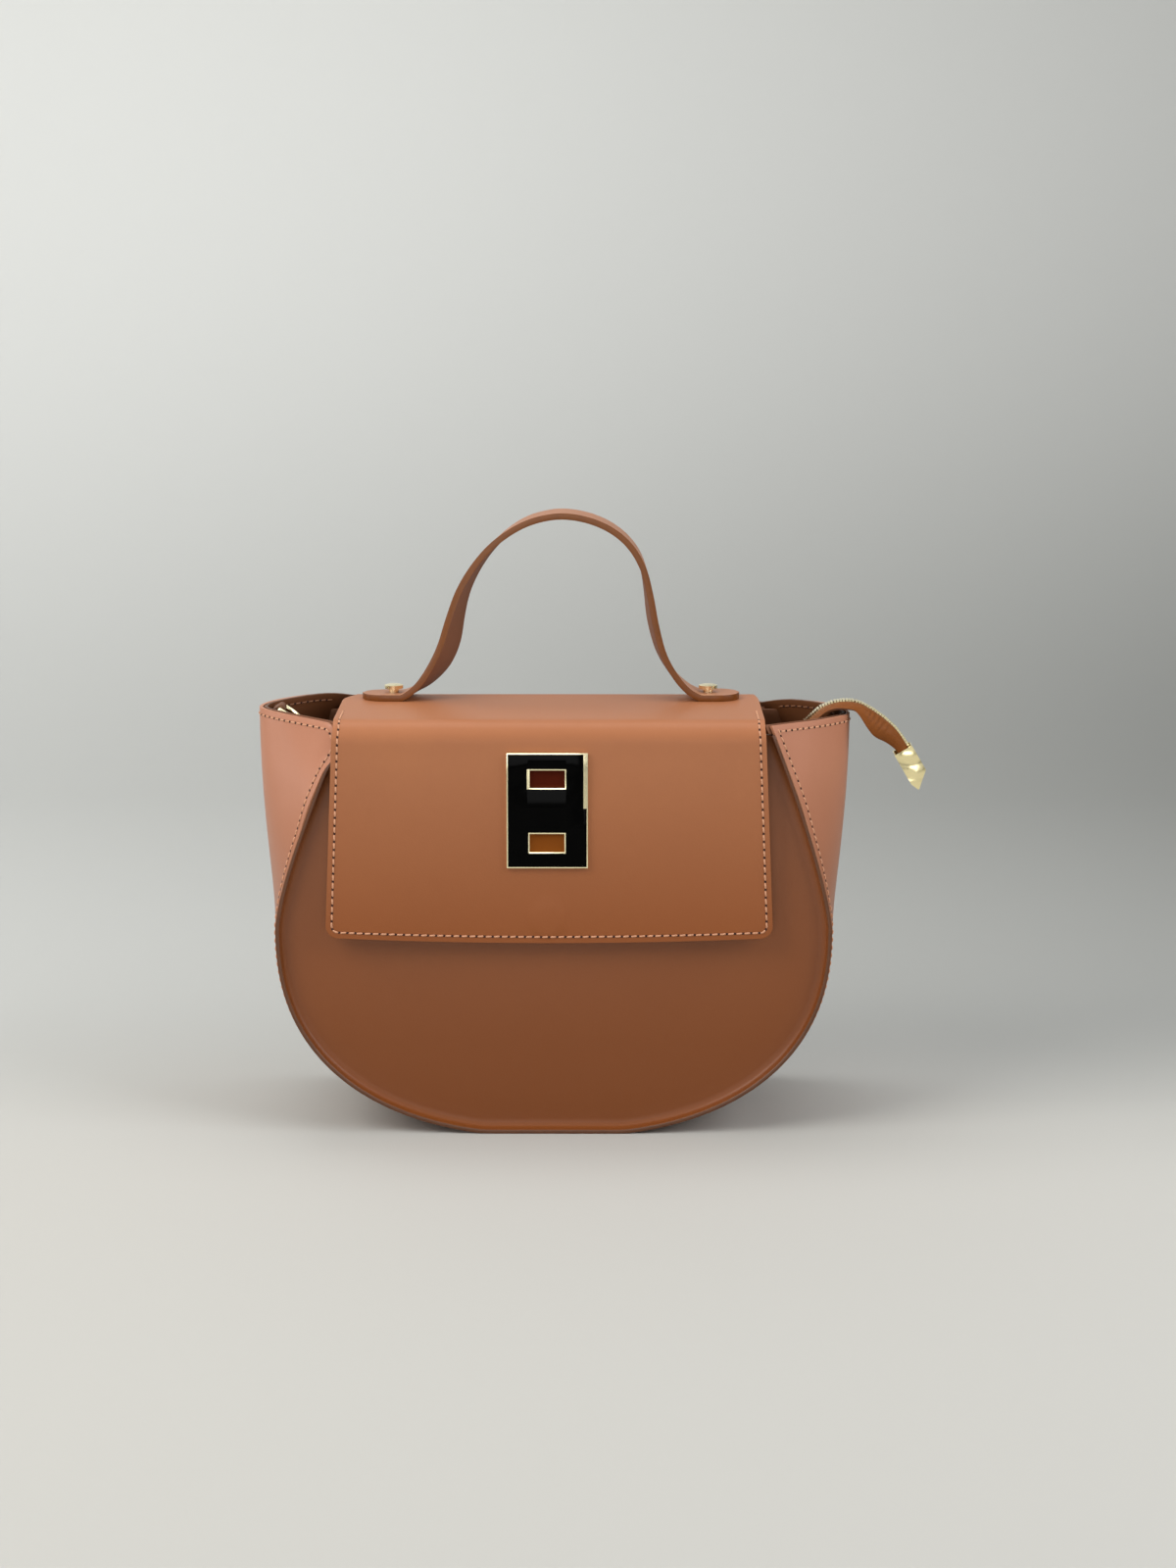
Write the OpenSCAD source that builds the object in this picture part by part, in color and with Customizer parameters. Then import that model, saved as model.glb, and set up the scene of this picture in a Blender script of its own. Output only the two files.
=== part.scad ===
// Half-moon flap handbag with flared wing gussets, a flat top handle and a zip closure.
// X runs to the wearer's right, the front faces -Y, Z is up, origin at the middle of the base.

/* [Body] */
// Width of the body at its widest level
belly_w = 242; // [200:1:280]
// Height of the widest level above the base
belly_h = 91; // [78:1:104]
// Width of the front and back panels at the mouth
mouth_w = 188; // [176:1:196]
// Height of the wings' rim
body_h = 180.5; // [170:0.5:190]
// How far the panels' tops lie below the wings' rim, under the flap
panel_step = 4.5; // [4:0.1:6]
// Depth of the body at the mouth
mouth_d = 78; // [66:1:90]
// Depth of the body at the base
base_d = 94; // [84:1:104]
// Width across the tips of the two wings
wing_w = 261; // [245:1:280]
// Thickness of the gusset leather
gusset_t = 1.6; // [1.2:0.1:2]
// Thickness of the panel leather
panel_t = 1.8; // [1.2:0.1:2.2]
// How far the panel rims are turned outward
rim_turn = 5; // [4:0.5:6]
// Thickness of the lining
lining_t = 0.9; // [0.6:0.1:1.2]
// Height of the facings inside the mouth
facing_h = 15; // [14:1:22]
// Thickness of the facings
facing_t = 1.2; // [0.8:0.1:1.4]
// Thickness of the base board
board_t = 1.5; // [1:0.1:2]

/* [Flap] */
// Height of the flap's top face above the base
flap_z = 182.5; // [181.5:0.1:186]
// Width of the flap along its top
flap_w = 182; // [174:1:182]
// Width of the flap at its lower edge
flap_low_w = 192; // [184:1:200]
// Drop of the flap front below its bend
flap_drop = 85; // [80:1:92]
// Radius of the lower corners of the flap
flap_corner_r = 6; // [4:0.5:12]
// Outer radius of the front bend
front_bend_r = 10; // [7:0.5:13]
// Outer radius of the back bend
back_bend_r = 4; // [3.5:0.1:5]
// Thickness of the flap leather
flap_t = 1.7; // [1.4:0.1:2]
// Thickness of the flap lining
flap_lining_t = 1.2; // [0.8:0.1:1.4]

/* [Handle] */
// Distance between the two screws
screw_span = 140.8; // [130:1:150]
// Rise of the handle above the flap
handle_rise = 82.6; // [65:1:95]
// Width of the strap
strap_w = 20; // [16:1:22]
// Thickness of one layer of the strap
layer_t = 1.4; // [1.1:0.1:1.8]
// Length of a tab beyond its screw
tab_reach = 14; // [11:0.5:16]
// Swing of the handle each way, in degrees
handle_swing = 45; // [20:5:45]
// Diameter of the screw heads
screw_head_d = 8.3; // [7:0.1:9.5]
// Diameter of the screw posts
screw_post_d = 4.4; // [3.5:0.1:5]
// Height of the screw heads' tops above the strap
screw_proud = 3.6; // [3.2:0.1:5]
// Thickness of the screw heads
screw_head_t = 2; // [1.4:0.1:2.6]

/* [Plate] */
// Width of the plate
plate_w = 35; // [28:1:42]
// Height of the plate
plate_h = 50; // [44:1:60]
// Thickness of the plate
plate_t = 2.8; // [2.2:0.1:3.4]
// Height of the plate's centre above the base
plate_z = 144.5; // [138:0.5:145]
// Width of a window in the plate
window_w = 17; // [12:1:20]
// Height of a window in the plate
window_h = 8.6; // [6:0.1:11]
// Distance of each window's centre from the plate's centre
window_offset = 13.9; // [11:0.1:15]
// Width of the gilt lines round the plate and its windows
line_w = 0.9; // [0.6:0.1:1.4]
// Depth of the enamel
enamel_t = 1; // [0.6:0.1:1.4]

/* [Magnet] */
// Diameter of the two magnet cases
magnet_d = 15; // [12:0.5:18]
// Height of the magnets above the base
magnet_z = 96.3; // [94:0.1:102]

/* [Zip] */
// Spacing of the teeth on one side
tooth_pitch = 2.54; // [2.5:0.01:2.8]
// Width of a tooth along the zip
tooth_w = 1; // [0.8:0.05:1]
// Half thickness of a tooth
tooth_half_t = 1.25; // [1.1:0.05:1.4]
// Half length of the part of the zip that opens
zip_half_l = 60; // [50:1:66]
// Half length of the whole closure inside the mouth
closure_half_l = 87; // [82:1:90]
// Length of the slider
slider_l = 10; // [8:0.5:11]
// Length of the pull
pull_l = 13; // [9:0.5:14]
// Width of one folded half of the tail
tail_half_w = 7.5; // [6:0.1:8]
// Length of the gilt end cap
cap_l = 19; // [16:0.5:22]

/* [Strap rings] */
// Diameter of the ring wire
wire_d = 2.2; // [1.8:0.1:2.4]
// Clear width inside a ring
ring_w = 11; // [9:0.5:11.5]
// Height of the left ring's bar above the base
left_ring_z = 181.5; // [179:0.5:183]
// Depth of the right ring's bar below the zip's ramp
right_ring_drop = 11.3; // [10:0.1:14]
// Slope of the left ring below the level, in degrees
ring_slope = 32; // [20:1:45]

/* [Hidden] */

// One overrun serves all cuts
cut = 1;
// Clearances: a sewn seam, two linings, a fitted hole, a hinge line
seam_gap = 0.15;
skin_gap = 0.3;
fit_gap = 0.15;
hinge_gap = 0.2;

// Body outline: superellipse below the widest level, a steadily leaning side above it
belly_half = belly_w / 2;
mouth_half = mouth_w / 2;
wing_half = wing_w / 2;
round_power = 2.35;
side_power = 1.33;
// Height cut off the outline's lowest point, which leaves the flat that the bag stands on
base_flat = 1.6;
// Outward crown of the gusset at the widest level
gusset_crown = 2.5;
wing_power = 2;
// Sharpness of the wing's crease, as a share of the half depth, at the mouth and at the belly
crease_share = 0.2;
belly_crease_share = 1;
upper_steps = 12;
lower_steps = 16;
// Places across the gusset, as shares of its half depth
cross_shares = [-1, -0.74, -0.48, -0.27, -0.11, 0, 0.11, 0.27, 0.48, 0.74, 1];
// Lean of the two panels
panel_tilt = atan((base_d - mouth_d) / 2 / body_h);

function half_depth(z) = mouth_d / 2 + (body_h - z) * tan(panel_tilt);
function rise_share(z) = max(0, (z - belly_h) / (body_h - belly_h));
function outline_half(z) = mouth_half + (belly_half - mouth_half) * (1 - pow(rise_share(z), side_power));
function outline_slope(z) =
    (belly_half - mouth_half) * side_power * pow(rise_share(z), side_power - 1) / (body_h - belly_h);
function wing_reach(z) =
    belly_half + gusset_crown
    + (wing_half - belly_half - gusset_crown) * (1 - pow(1 - rise_share(z), wing_power));
function gusset_bulge(z) =
    z > belly_h ? wing_reach(z) - outline_half(z) : gusset_crown * pow(z / belly_h, 2);
function crease(z) = belly_crease_share + (crease_share - belly_crease_share) * rise_share(z);

// Bulge across the gusset: a hyperbola, nearly straight down to a rounded crease
function cross_bulge(v, k) = (sqrt(1 + k * k) - sqrt(v * v + k * k)) / (sqrt(1 + k * k) - k);
function cross_slope(v, k) = v / sqrt(v * v + k * k) / (sqrt(1 + k * k) - k);

// A station of the outline: x, z, inward direction x and z, and how much the slope thickens it
function upper_station(z) = [outline_half(z), z, -1, 0, sqrt(1 + pow(outline_slope(z), 2))];
function lower_x(a) = belly_half * pow(cos(a), 2 / round_power);
function lower_drop(a) = (belly_h + base_flat) * pow(sin(a), 2 / round_power);
function lower_dir(a) =
    let (nx = pow(cos(a), 2 - 2 / round_power) / belly_half,
         nz = pow(sin(a), 2 - 2 / round_power) / (belly_h + base_flat),
         n = norm([nx, nz]))
    lower_drop(a) > belly_h ? [0, 1] : [-nx / n, nz / n];
function lower_station(a) =
    let (d = lower_dir(a)) [lower_x(a), max(0, belly_h - lower_drop(a)), d[0], d[1], 1];

// Right half of the outline, from a top level down to the middle of the base. Whatever the top,
// its levels are the gusset's, so that pieces of different heights run side by side
level_step = (body_h - belly_h) / upper_steps;
shortest_step = 1;
function level_station(i) = upper_station(body_h - i * level_step);
function chord_station(z) =
    let (i = floor((body_h - z) / level_step), t = (body_h - z) / level_step - i)
    level_station(i) * (1 - t) + level_station(i + 1) * t;
function half_stations(top) = [
    chord_station(top),
    for (i = [1:upper_steps]) if (body_h - i * level_step < top - shortest_step) level_station(i),
    for (i = [1:lower_steps]) lower_station(90 * i / lower_steps)
];
function mirrored(s) = [-s[0], s[1], -s[2], s[3], s[4]];
function all_stations(top) =
    let (right = half_stations(top), n = len(right))
    concat([for (i = [0:n - 2]) mirrored(right[i])], [for (i = [n - 1:-1:0]) right[i]]);

function reversed(p) = [for (i = [len(p) - 1:-1:0]) p[i]];

// Closed outline of a panel, drawn in by an inset that also allows for the gusset's turned edge
function edge_turn(z) = sqrt(1 + pow(gusset_bulge(z) * cross_slope(1, crease(z)) / half_depth(z), 2));
function outline_points(top, inset) = [
    for (s = all_stations(top)) [s[0] + s[2] * inset * s[4] * edge_turn(s[1]), s[1] + s[3] * inset]
];

// A share across the gusset; beyond the knee it is drawn in to a limit
knee_share = 0.48;
function drawn_in(v, limit) =
    abs(v) <= knee_share ? v
    : sign(v) * (knee_share + (abs(v) - knee_share) * (limit - knee_share) / (1 - knee_share));

// One point of a gusset skin: station, share across, inset from the outer face
function skin_point(s, v, inset, margin) =
    let (z = s[1],
         k = crease(z),
         side = s[0] < 0 ? -1 : 1,
         u = drawn_in(v, 1 - margin / half_depth(z)),
         lean = gusset_bulge(z) * cross_slope(u, k) / half_depth(z),
         swell = s[0] == 0 ? 0 : gusset_bulge(z) * cross_bulge(u, k) * side,
         push = inset * s[4] * sqrt(1 + lean * lean))
    [s[0] + swell + s[2] * push, u * half_depth(z), z + s[3] * push];

// How far inside the wing's tip its faced wall lies, at a distance from the middle
function wing_room(y) =
    let (k = crease(body_h), u = y / half_depth(body_h), swell = gusset_bulge(body_h),
         lean = swell * cross_slope(u, k) / half_depth(body_h))
    swell * (1 - cross_bulge(u, k))
    + (gusset_t + skin_gap + facing_t) * upper_station(body_h)[4] * sqrt(1 + lean * lean);

// Closed sheet that follows the gusset between two insets
module gusset_sheet(stations, inset, thickness, margin) {
    n = len(stations);
    m = len(cross_shares);
    outer = [for (s = stations) for (v = cross_shares) skin_point(s, v, inset, margin)];
    inner = [for (s = stations) for (v = cross_shares) skin_point(s, v, inset + thickness, margin)];
    base = n * m;
    polyhedron(
        points = concat(outer, inner),
        faces = concat(
            [for (i = [0:n - 2]) for (j = [0:m - 2]) [(i + 1) * m + j + 1, i * m + j + 1, i * m + j]],
            [for (i = [0:n - 2]) for (j = [0:m - 2]) [(i + 1) * m + j, (i + 1) * m + j + 1, i * m + j]],
            [for (i = [0:n - 2]) for (j = [0:m - 2])
                [base + i * m + j + 1, base + (i + 1) * m + j + 1, base + i * m + j]],
            [for (i = [0:n - 2]) for (j = [0:m - 2])
                [base + (i + 1) * m + j + 1, base + (i + 1) * m + j, base + i * m + j]],
            [for (i = [0:n - 2]) [base + (i + 1) * m, (i + 1) * m, i * m]],
            [for (i = [0:n - 2]) [base + i * m, base + (i + 1) * m, i * m]],
            [for (i = [0:n - 2]) [(i + 1) * m + m - 1, base + (i + 1) * m + m - 1, i * m + m - 1]],
            [for (i = [0:n - 2]) [base + (i + 1) * m + m - 1, base + i * m + m - 1, i * m + m - 1]],
            [for (j = [0:m - 2]) [j + 1, base + j + 1, j]],
            [for (j = [0:m - 2]) [base + j + 1, base + j, j]],
            [for (j = [0:m - 2]) [2 * base - m + j + 1, base - m + j + 1, base - m + j]],
            [for (j = [0:m - 2]) [2 * base - m + j, 2 * base - m + j + 1, base - m + j]]
        )
    );
}

// Places children in the plane of the front or back panel: X across, Y into the bag, Z up
module panel_frame(side) {
    rotate([0, 0, side > 0 ? 180 : 0])
        translate([0, -mouth_d / 2, body_h])
            rotate([-panel_tilt, 0, 0])
                translate([0, 0, -body_h])
                    children();
}

// A slab between two depths in the panel's plane
module panel_slab(points, from, thickness) {
    translate([0, from + thickness, 0])
        rotate([90, 0, 0])
            linear_extrude(thickness)
                polygon(points);
}

panel_inset = gusset_t + seam_gap;
lining_inset = gusset_t + skin_gap + seam_gap;
panel_lining_from = rim_turn + panel_t + skin_gap;
panel_top = body_h - panel_step;
zip_z = panel_top - facing_h;
lining_top = zip_z - skin_gap;

// A panel whose rim is turned outward inside the gusset's edge
module turned_panel(side) {
    rim = outline_points(panel_top, panel_inset);
    panel_frame(side) {
        panel_slab(rim, rim_turn, panel_t);
        panel_slab(
            concat(rim, reversed(outline_points(panel_top, panel_inset + panel_t))),
            0, rim_turn + panel_t / 2);
    }
}

module front_panel() {
    color("#80502f") turned_panel(-1);
}

module back_panel() {
    color("#80502f") turned_panel(1);
}

module gusset() {
    color("#b48065") gusset_sheet(all_stations(body_h), 0, gusset_t, 0);
}

lining_margin = panel_lining_from + lining_t + skin_gap;

module lining_gusset() {
    color("#3a2415") gusset_sheet(all_stations(lining_top), lining_inset, lining_t, lining_margin);
}

module lining_slab(side) {
    panel_frame(side)
        panel_slab(outline_points(lining_top, lining_inset + seam_gap), panel_lining_from, lining_t);
}

module lining_front() {
    color("#3a2415") lining_slab(-1);
}

module lining_back() {
    color("#3a2415") lining_slab(1);
}

// The board covers the stations nearest the middle of the base
board_steps = 5;

module base_board() {
    stations = all_stations(lining_top);
    middle = floor(len(stations) / 2);
    color("#2e2118")
        gusset_sheet(
            [for (i = [middle - board_steps:middle + board_steps]) stations[i]],
            lining_inset + lining_t + skin_gap, board_t, lining_margin + skin_gap);
}

facing_from = rim_turn + panel_t + seam_gap;
facing_half = mouth_half - panel_inset - facing_t * 2 - skin_gap * 2;

module mouth_facing(side) {
    panel_frame(side)
        panel_slab(
            [[-facing_half, zip_z], [facing_half, zip_z],
             [facing_half, panel_top], [-facing_half, panel_top]],
            facing_from, facing_t);
}

module mouth_facing_front() {
    color("#6b4128") mouth_facing(-1);
}

module mouth_facing_back() {
    color("#6b4128") mouth_facing(1);
}

wing_facing_margin = rim_turn + panel_t + seam_gap;

module wing_facing(side) {
    stations = [
        chord_station(zip_z),
        for (i = [upper_steps:-1:0])
            if (body_h - i * level_step > zip_z + shortest_step) level_station(i)
    ];
    gusset_sheet(
        side > 0 ? stations : [for (s = reversed(stations)) mirrored(s)],
        gusset_t + skin_gap, facing_t, wing_facing_margin);
}

module wing_facing_left() {
    color("#6b4128") wing_facing(-1);
}

module wing_facing_right() {
    color("#6b4128") wing_facing(1);
}

// Strap rings: a D of wire whose straight bar lies along Y in a leather loop
wire_r = wire_d / 2;
bar_half = ring_w / 2 + wire_r;
loop_w = ring_w - 4 * skin_gap - wire_r;
loop_t = 1.1;
loop_bore_r = wire_r + skin_gap;
loop_r = loop_bore_r + loop_t;
// How far the loop's tail reaches down the wing's inner face, and its clearance from the face
loop_tail = 9;
loop_tail_t = loop_t * 3 / 2;
loop_clear = 0.5;
// The bar lies as deep in the wing as its ends have room, and the hanging ring clears the tail
ring_clear = 0.7;
bar_room = wing_room(bar_half + wire_r) + wire_r + ring_clear;
tail_room = wing_room(loop_w / 2) + loop_clear + loop_tail_t + skin_gap + wire_r;
ring_x = wing_half - max(bar_room, tail_room);
loop_reach = wing_half - wing_room(loop_w / 2) - loop_clear - ring_x;

module d_ring(sweep) {
    rotate([0, sweep, 0]) {
        rotate([90, 0, 0])
            cylinder(r = wire_r, h = 2 * bar_half, center = true, $fn = 32);
        for (side = [-1, 1])
            translate([0, side * bar_half, 0]) {
                sphere(r = wire_r, $fn = 32);
                rotate([0, 90, 0])
                    cylinder(r = wire_r, h = ring_w / 4, $fn = 32);
            }
        translate([ring_w / 4, 0, 0])
            rotate([0, 0, -90])
                rotate_extrude(angle = 180, $fn = 48)
                    translate([bar_half, 0])
                        circle(r = wire_r, $fn = 24);
    }
}

module ring_loop(side, bar_z) {
    mirror([side > 0 ? 1 : 0, 0, 0])
        translate([-ring_x, 0, bar_z])
            rotate([90, 0, 0])
                linear_extrude(loop_w, center = true)
                    difference() {
                        union() {
                            circle(r = loop_r, $fn = 48);
                            polygon([
                                [-loop_r, 0], [0, -loop_r],
                                [loop_tail_t - loop_reach, -loop_r - loop_tail],
                                [-loop_reach, -loop_r - loop_tail],
                                [-loop_reach, -loop_r]
                            ]);
                        }
                        circle(r = loop_bore_r, $fn = 48);
                    }
}

module ring_loop_left() {
    color("#7a4a2c") ring_loop(-1, left_ring_z);
}

module d_ring_left() {
    color("#d9b26a") translate([-ring_x, 0, left_ring_z]) d_ring(ring_slope);
}

// Magnet catch: one case on the panel, one on the flap, both below the plate
plate_x = -2.6;

module magnet_case() {
    rotate([90, 0, 0])
        cylinder(d = magnet_d, h = magnet_t, $fn = 64);
}

module magnet_socket() {
    color("#d9b26a")
        panel_frame(-1)
            translate([plate_x, rim_turn, body_h - (body_h - magnet_z) / cos(panel_tilt)])
                magnet_case();
}

// Zip closure: two leather strips with tapes and teeth, hinged where they are sewn to the facings
strip_t = 1.2;
tape_t = 0.6;
sewn_y = half_depth(zip_z) - facing_from - facing_t - skin_gap;
strip_edge_y = 8;
tape_back_y = 15;
tooth_tip = 1.2;
tooth_back = 4.3;
tape_edge = tooth_tip + fit_gap;
tooth_mid_z = zip_z - tape_t / 2;
end_gap = 0.4;

module strip_half(from_x, to_x) {
    translate([from_x, -sewn_y, zip_z])
        cube([to_x - from_x, sewn_y - strip_edge_y, strip_t]);
}

module tape_half(from_x, to_x) {
    translate([from_x, -tape_back_y, zip_z - tape_t])
        cube([to_x - from_x, tape_back_y - tape_edge, tape_t]);
}

// A tooth clamps the tape's edge and its head reaches past the middle
module tooth() {
    slot = tape_t / 2 + fit_gap / 2;
    rotate([90, 0, 90])
        linear_extrude(tooth_w, center = true)
            polygon([
                [-tooth_back, slot], [-tape_edge + fit_gap / 2, slot],
                [-tape_edge + fit_gap / 2, -slot], [-tooth_back, -slot],
                [-tooth_back, -tooth_half_t], [0, -tooth_half_t],
                [tooth_tip, -tooth_half_t / 2], [tooth_tip, tooth_half_t / 2],
                [0, tooth_half_t], [-tooth_back, tooth_half_t]
            ]);
}

// Teeth of one side between two places, on the pitch grid
module tooth_row(from_x, to_x, side) {
    shift = side < 0 ? 0 : tooth_pitch / 2;
    first = ceil((from_x + tooth_w / 2 - shift) / tooth_pitch);
    last = floor((to_x - tooth_w / 2 - shift) / tooth_pitch);
    for (i = [first:last])
        translate([i * tooth_pitch + shift, 0, tooth_mid_z])
            mirror([0, side < 0 ? 0 : 1, 0])
                tooth();
}

module both_sides() {
    children();
    mirror([0, 1, 0]) children();
}

module zip_end_strips() {
    color("#8a5634")
        both_sides() {
            strip_half(-closure_half_l, -zip_half_l - end_gap);
            strip_half(zip_half_l + end_gap, closure_half_l);
        }
}

module zip_end_tapes() {
    color("#4a3020")
        both_sides() {
            tape_half(-closure_half_l, -zip_half_l - end_gap);
            tape_half(zip_half_l + end_gap, closure_half_l);
        }
}

module zip_end_teeth() {
    color("#d9b26a")
        for (side = [-1, 1]) {
            tooth_row(-closure_half_l, -zip_half_l - end_gap, side);
            tooth_row(zip_half_l + end_gap, closure_half_l, side);
        }
}

module zip_strip_front() {
    color("#8a5634") strip_half(-zip_half_l, zip_half_l);
}

module zip_strip_back() {
    color("#8a5634") mirror([0, 1, 0]) strip_half(-zip_half_l, zip_half_l);
}

module zip_tape_front() {
    color("#4a3020") tape_half(-zip_half_l, zip_half_l);
}

module zip_tape_back() {
    color("#4a3020") mirror([0, 1, 0]) tape_half(-zip_half_l, zip_half_l);
}

module zip_teeth_front() {
    color("#d9b26a") tooth_row(-zip_half_l, zip_half_l, -1);
}

module zip_teeth_back() {
    color("#d9b26a") tooth_row(-zip_half_l, zip_half_l, 1);
}

// Slider: an upper and a lower plate with lips round the teeth, and a bail for the pull
slider_x = -(zip_half_l + closure_half_l) / 2;
slider_t = 0.9;
slider_half_w = tooth_back + fit_gap + slider_t;
slider_plate_z = tooth_half_t + fit_gap;
bail_r = 2.2;
bail_wire_r = 0.55;
pull_wire_r = 0.6;
pull_w = 5;
pull_t = 1;
pull_z = tooth_mid_z + slider_plate_z + slider_t + pull_wire_r + skin_gap;

module slider_plate() {
    lip_drop = slider_plate_z - strip_t - tape_t / 2 - fit_gap;
    translate([-slider_l / 2, -slider_half_w, slider_plate_z])
        cube([slider_l, 2 * slider_half_w, slider_t]);
    if (lip_drop > 0)
        for (side = [0, 1])
            mirror([0, side, 0])
                translate([-slider_l / 2, tooth_back + fit_gap, slider_plate_z - lip_drop])
                    cube([slider_l, slider_t, lip_drop]);
}

module zip_slider() {
    color("#d9b26a")
        translate([slider_x, 0, tooth_mid_z]) {
            slider_plate();
            mirror([0, 0, 1]) slider_plate();
            translate([0, 0, slider_plate_z + slider_t])
                rotate([90, 0, 0])
                    rotate_extrude(angle = 180, $fn = 32)
                        translate([bail_r, 0])
                            circle(r = bail_wire_r, $fn = 16);
        }
}

module zip_pull() {
    eye_gap = bail_wire_r + fit_gap;
    color("#d9b26a")
        translate([slider_x, 0, pull_z]) {
            rotate([90, 0, 0])
                cylinder(r = pull_wire_r, h = pull_w, center = true, $fn = 24);
            for (side = [-1, 1])
                translate([0, side * (pull_w / 2 - pull_t / 2) - pull_t / 2, -pull_t / 2])
                    cube([bail_r + eye_gap + pull_t, pull_t, pull_t]);
            translate([bail_r + eye_gap + bail_wire_r, -pull_w / 2, -pull_t / 2])
                cube([pull_l - pull_w / 2 - bail_r - eye_gap - bail_wire_r, pull_w, pull_t]);
            translate([pull_l - pull_w / 2, 0, -pull_t / 2])
                cylinder(d = pull_w, h = pull_t, $fn = 32);
        }
}

// The zip climbs out over the right wing's rim as a folded ramp, then hangs as the tail.
// Ridge of the ramp: shares of the run from the closure's end to the hinge, and of the climb
crest_rise = 4;
hinge_x = wing_half + strip_t + skin_gap * 2;
ramp_run = hinge_x - closure_half_l - end_gap;
ramp_climb = body_h + crest_rise - tooth_mid_z;
ramp_shares = [
    [0, 0], [0.18, 0.06], [0.36, 0.3], [0.54, 0.63],
    [0.68, 0.87], [0.8, 0.97], [0.91, 1], [1, 0.987]
];
ramp_angles = [0, 4, 8, 11, 12, 15, 27, 34];
ramp_width_shares = [1, 1, 1, 0.96, 0.86, 0.78, 0.74, 0.74];
// Ridge of the tail: shares of its reach outward and of its fall
tail_reach = 24.8;
tail_fall = 22.1;
tail_shares = [
    [0, 0], [0.13, 0.05], [0.32, 0.166], [0.53, 0.335], [0.72, 0.53], [0.875, 0.762], [1, 1]
];
tail_angles = [34, 40, 48, 55, 60, 66, 72];
tail_width_shares = [0.74, 0.85, 1.12, 1.24, 1.08, 0.84, 0.68];
ridge_half = 2.2;
ridge_lift = 0.3;

ramp_route = [
    for (s = ramp_shares)
        [closure_half_l + end_gap + s[0] * ramp_run, tooth_mid_z + s[1] * ramp_climb]
];
ramp_end = ramp_route[len(ramp_route) - 1];

// The right ring hangs below the ramp
function ramp_z(x) =
    tooth_mid_z + lookup((x - closure_half_l - end_gap) / ramp_run, ramp_shares) * ramp_climb;
right_ring_z = ramp_z(ring_x) - right_ring_drop;

module ring_loop_right() {
    color("#7a4a2c") ring_loop(1, right_ring_z);
}

module d_ring_right() {
    color("#d9b26a") translate([ring_x, 0, right_ring_z]) d_ring(90);
}

tail_route = [
    for (s = tail_shares) [ramp_end[0] + hinge_gap + s[0] * tail_reach, ramp_end[1] - s[1] * tail_fall]
];
tail_end = tail_route[len(tail_route) - 1];

// Unit direction of a route at one of its points
function route_dir(route, i) =
    let (n = len(route) - 1, d = route[min(i + 1, n)] - route[max(i - 1, 0)]) d / norm(d);

// Corner of the swept half at a station: across and below the ridge line
function half_corner(p, d, across, below) = [p[0] + d[1] * below, across, p[1] - d[0] * below];
function half_ring(route, angles, widths, i, side) =
    let (p = route[i], d = i == 0 ? [1, 0] : route_dir(route, i), a = angles[i],
         w = tail_half_w * widths[i],
         y0 = ridge_half + fit_gap, y1 = y0 + w * cos(a),
         drop = w * sin(a))
    [
        half_corner(p, d, side * y0, -ridge_lift),
        half_corner(p, d, side * y1, drop - ridge_lift),
        half_corner(p, d, side * (y1 - strip_t * sin(a)), drop - ridge_lift + strip_t * cos(a)),
        half_corner(p, d, side * y0, strip_t / cos(a) - ridge_lift)
    ];

module swept_half(route, angles, widths, side) {
    n = len(route);
    points = [for (i = [0:n - 1]) each half_ring(route, angles, widths, i, side)];
    walls = [
        for (i = [0:n - 2]) for (k = [0:3])
            each [
                [4 * i + k, 4 * i + (k + 1) % 4, 4 * i + 4 + (k + 1) % 4],
                [4 * i + k, 4 * i + 4 + (k + 1) % 4, 4 * i + 4 + k]
            ]
    ];
    faces = concat(walls, [[3, 2, 1, 0]], [[4 * n - 4, 4 * n - 3, 4 * n - 2, 4 * n - 1]]);
    polyhedron(
        points = points,
        faces = side > 0 ? [for (f = faces) [for (k = [len(f) - 1:-1:0]) f[k]]] : faces);
}

// Length along a route up to each point, and the place at a given length
function route_lengths(route, i = 0, sum = 0) =
    i == len(route) - 1 ? [sum]
    : concat([sum], route_lengths(route, i + 1, sum + norm(route[i + 1] - route[i])));
function route_leg(lengths, s, i = 0) =
    i >= len(lengths) - 2 || lengths[i + 1] > s ? i : route_leg(lengths, s, i + 1);

// Closed teeth along a route, alternately from each side
module route_teeth(route) {
    lengths = route_lengths(route);
    total = lengths[len(lengths) - 1];
    count = floor(total / (tooth_pitch / 2));
    for (i = [0:count - 1]) {
        s = (i + 1 / 2) * total / count;
        k = route_leg(lengths, s);
        leg = route[k + 1] - route[k];
        place = route[k] + leg * (s - lengths[k]) / norm(leg);
        translate([place[0], 0, place[1]])
            rotate([0, -atan2(leg[1], leg[0]), 0])
                translate([-tooth_w / 2, -ridge_half, -tooth_half_t])
                    cube([tooth_w, 2 * ridge_half, 2 * tooth_half_t]);
    }
}

module zip_ramp_halves() {
    color("#8a5634")
        for (side = [-1, 1])
            swept_half(ramp_route, ramp_angles, ramp_width_shares, side);
}

module zip_ramp_teeth() {
    color("#d9b26a") route_teeth(ramp_route);
}

module zip_tail_halves() {
    color("#b48065")
        for (side = [-1, 1])
            swept_half(tail_route, tail_angles, tail_width_shares, side);
}

module zip_tail_teeth() {
    color("#d9b26a") route_teeth(tail_route);
}

// The cap closes round the tail's end
cap_wall = 0.9;
cap_mouth = 2.7;
cap_top = 2.2;
cap_deep = 6.6;
end_half_w = tail_half_w * tail_width_shares[len(tail_shares) - 1];
cap_w = 2 * (ridge_half + end_half_w * cos(tail_angles[len(tail_shares) - 1]) + 2 * fit_gap + cap_wall);

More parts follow.
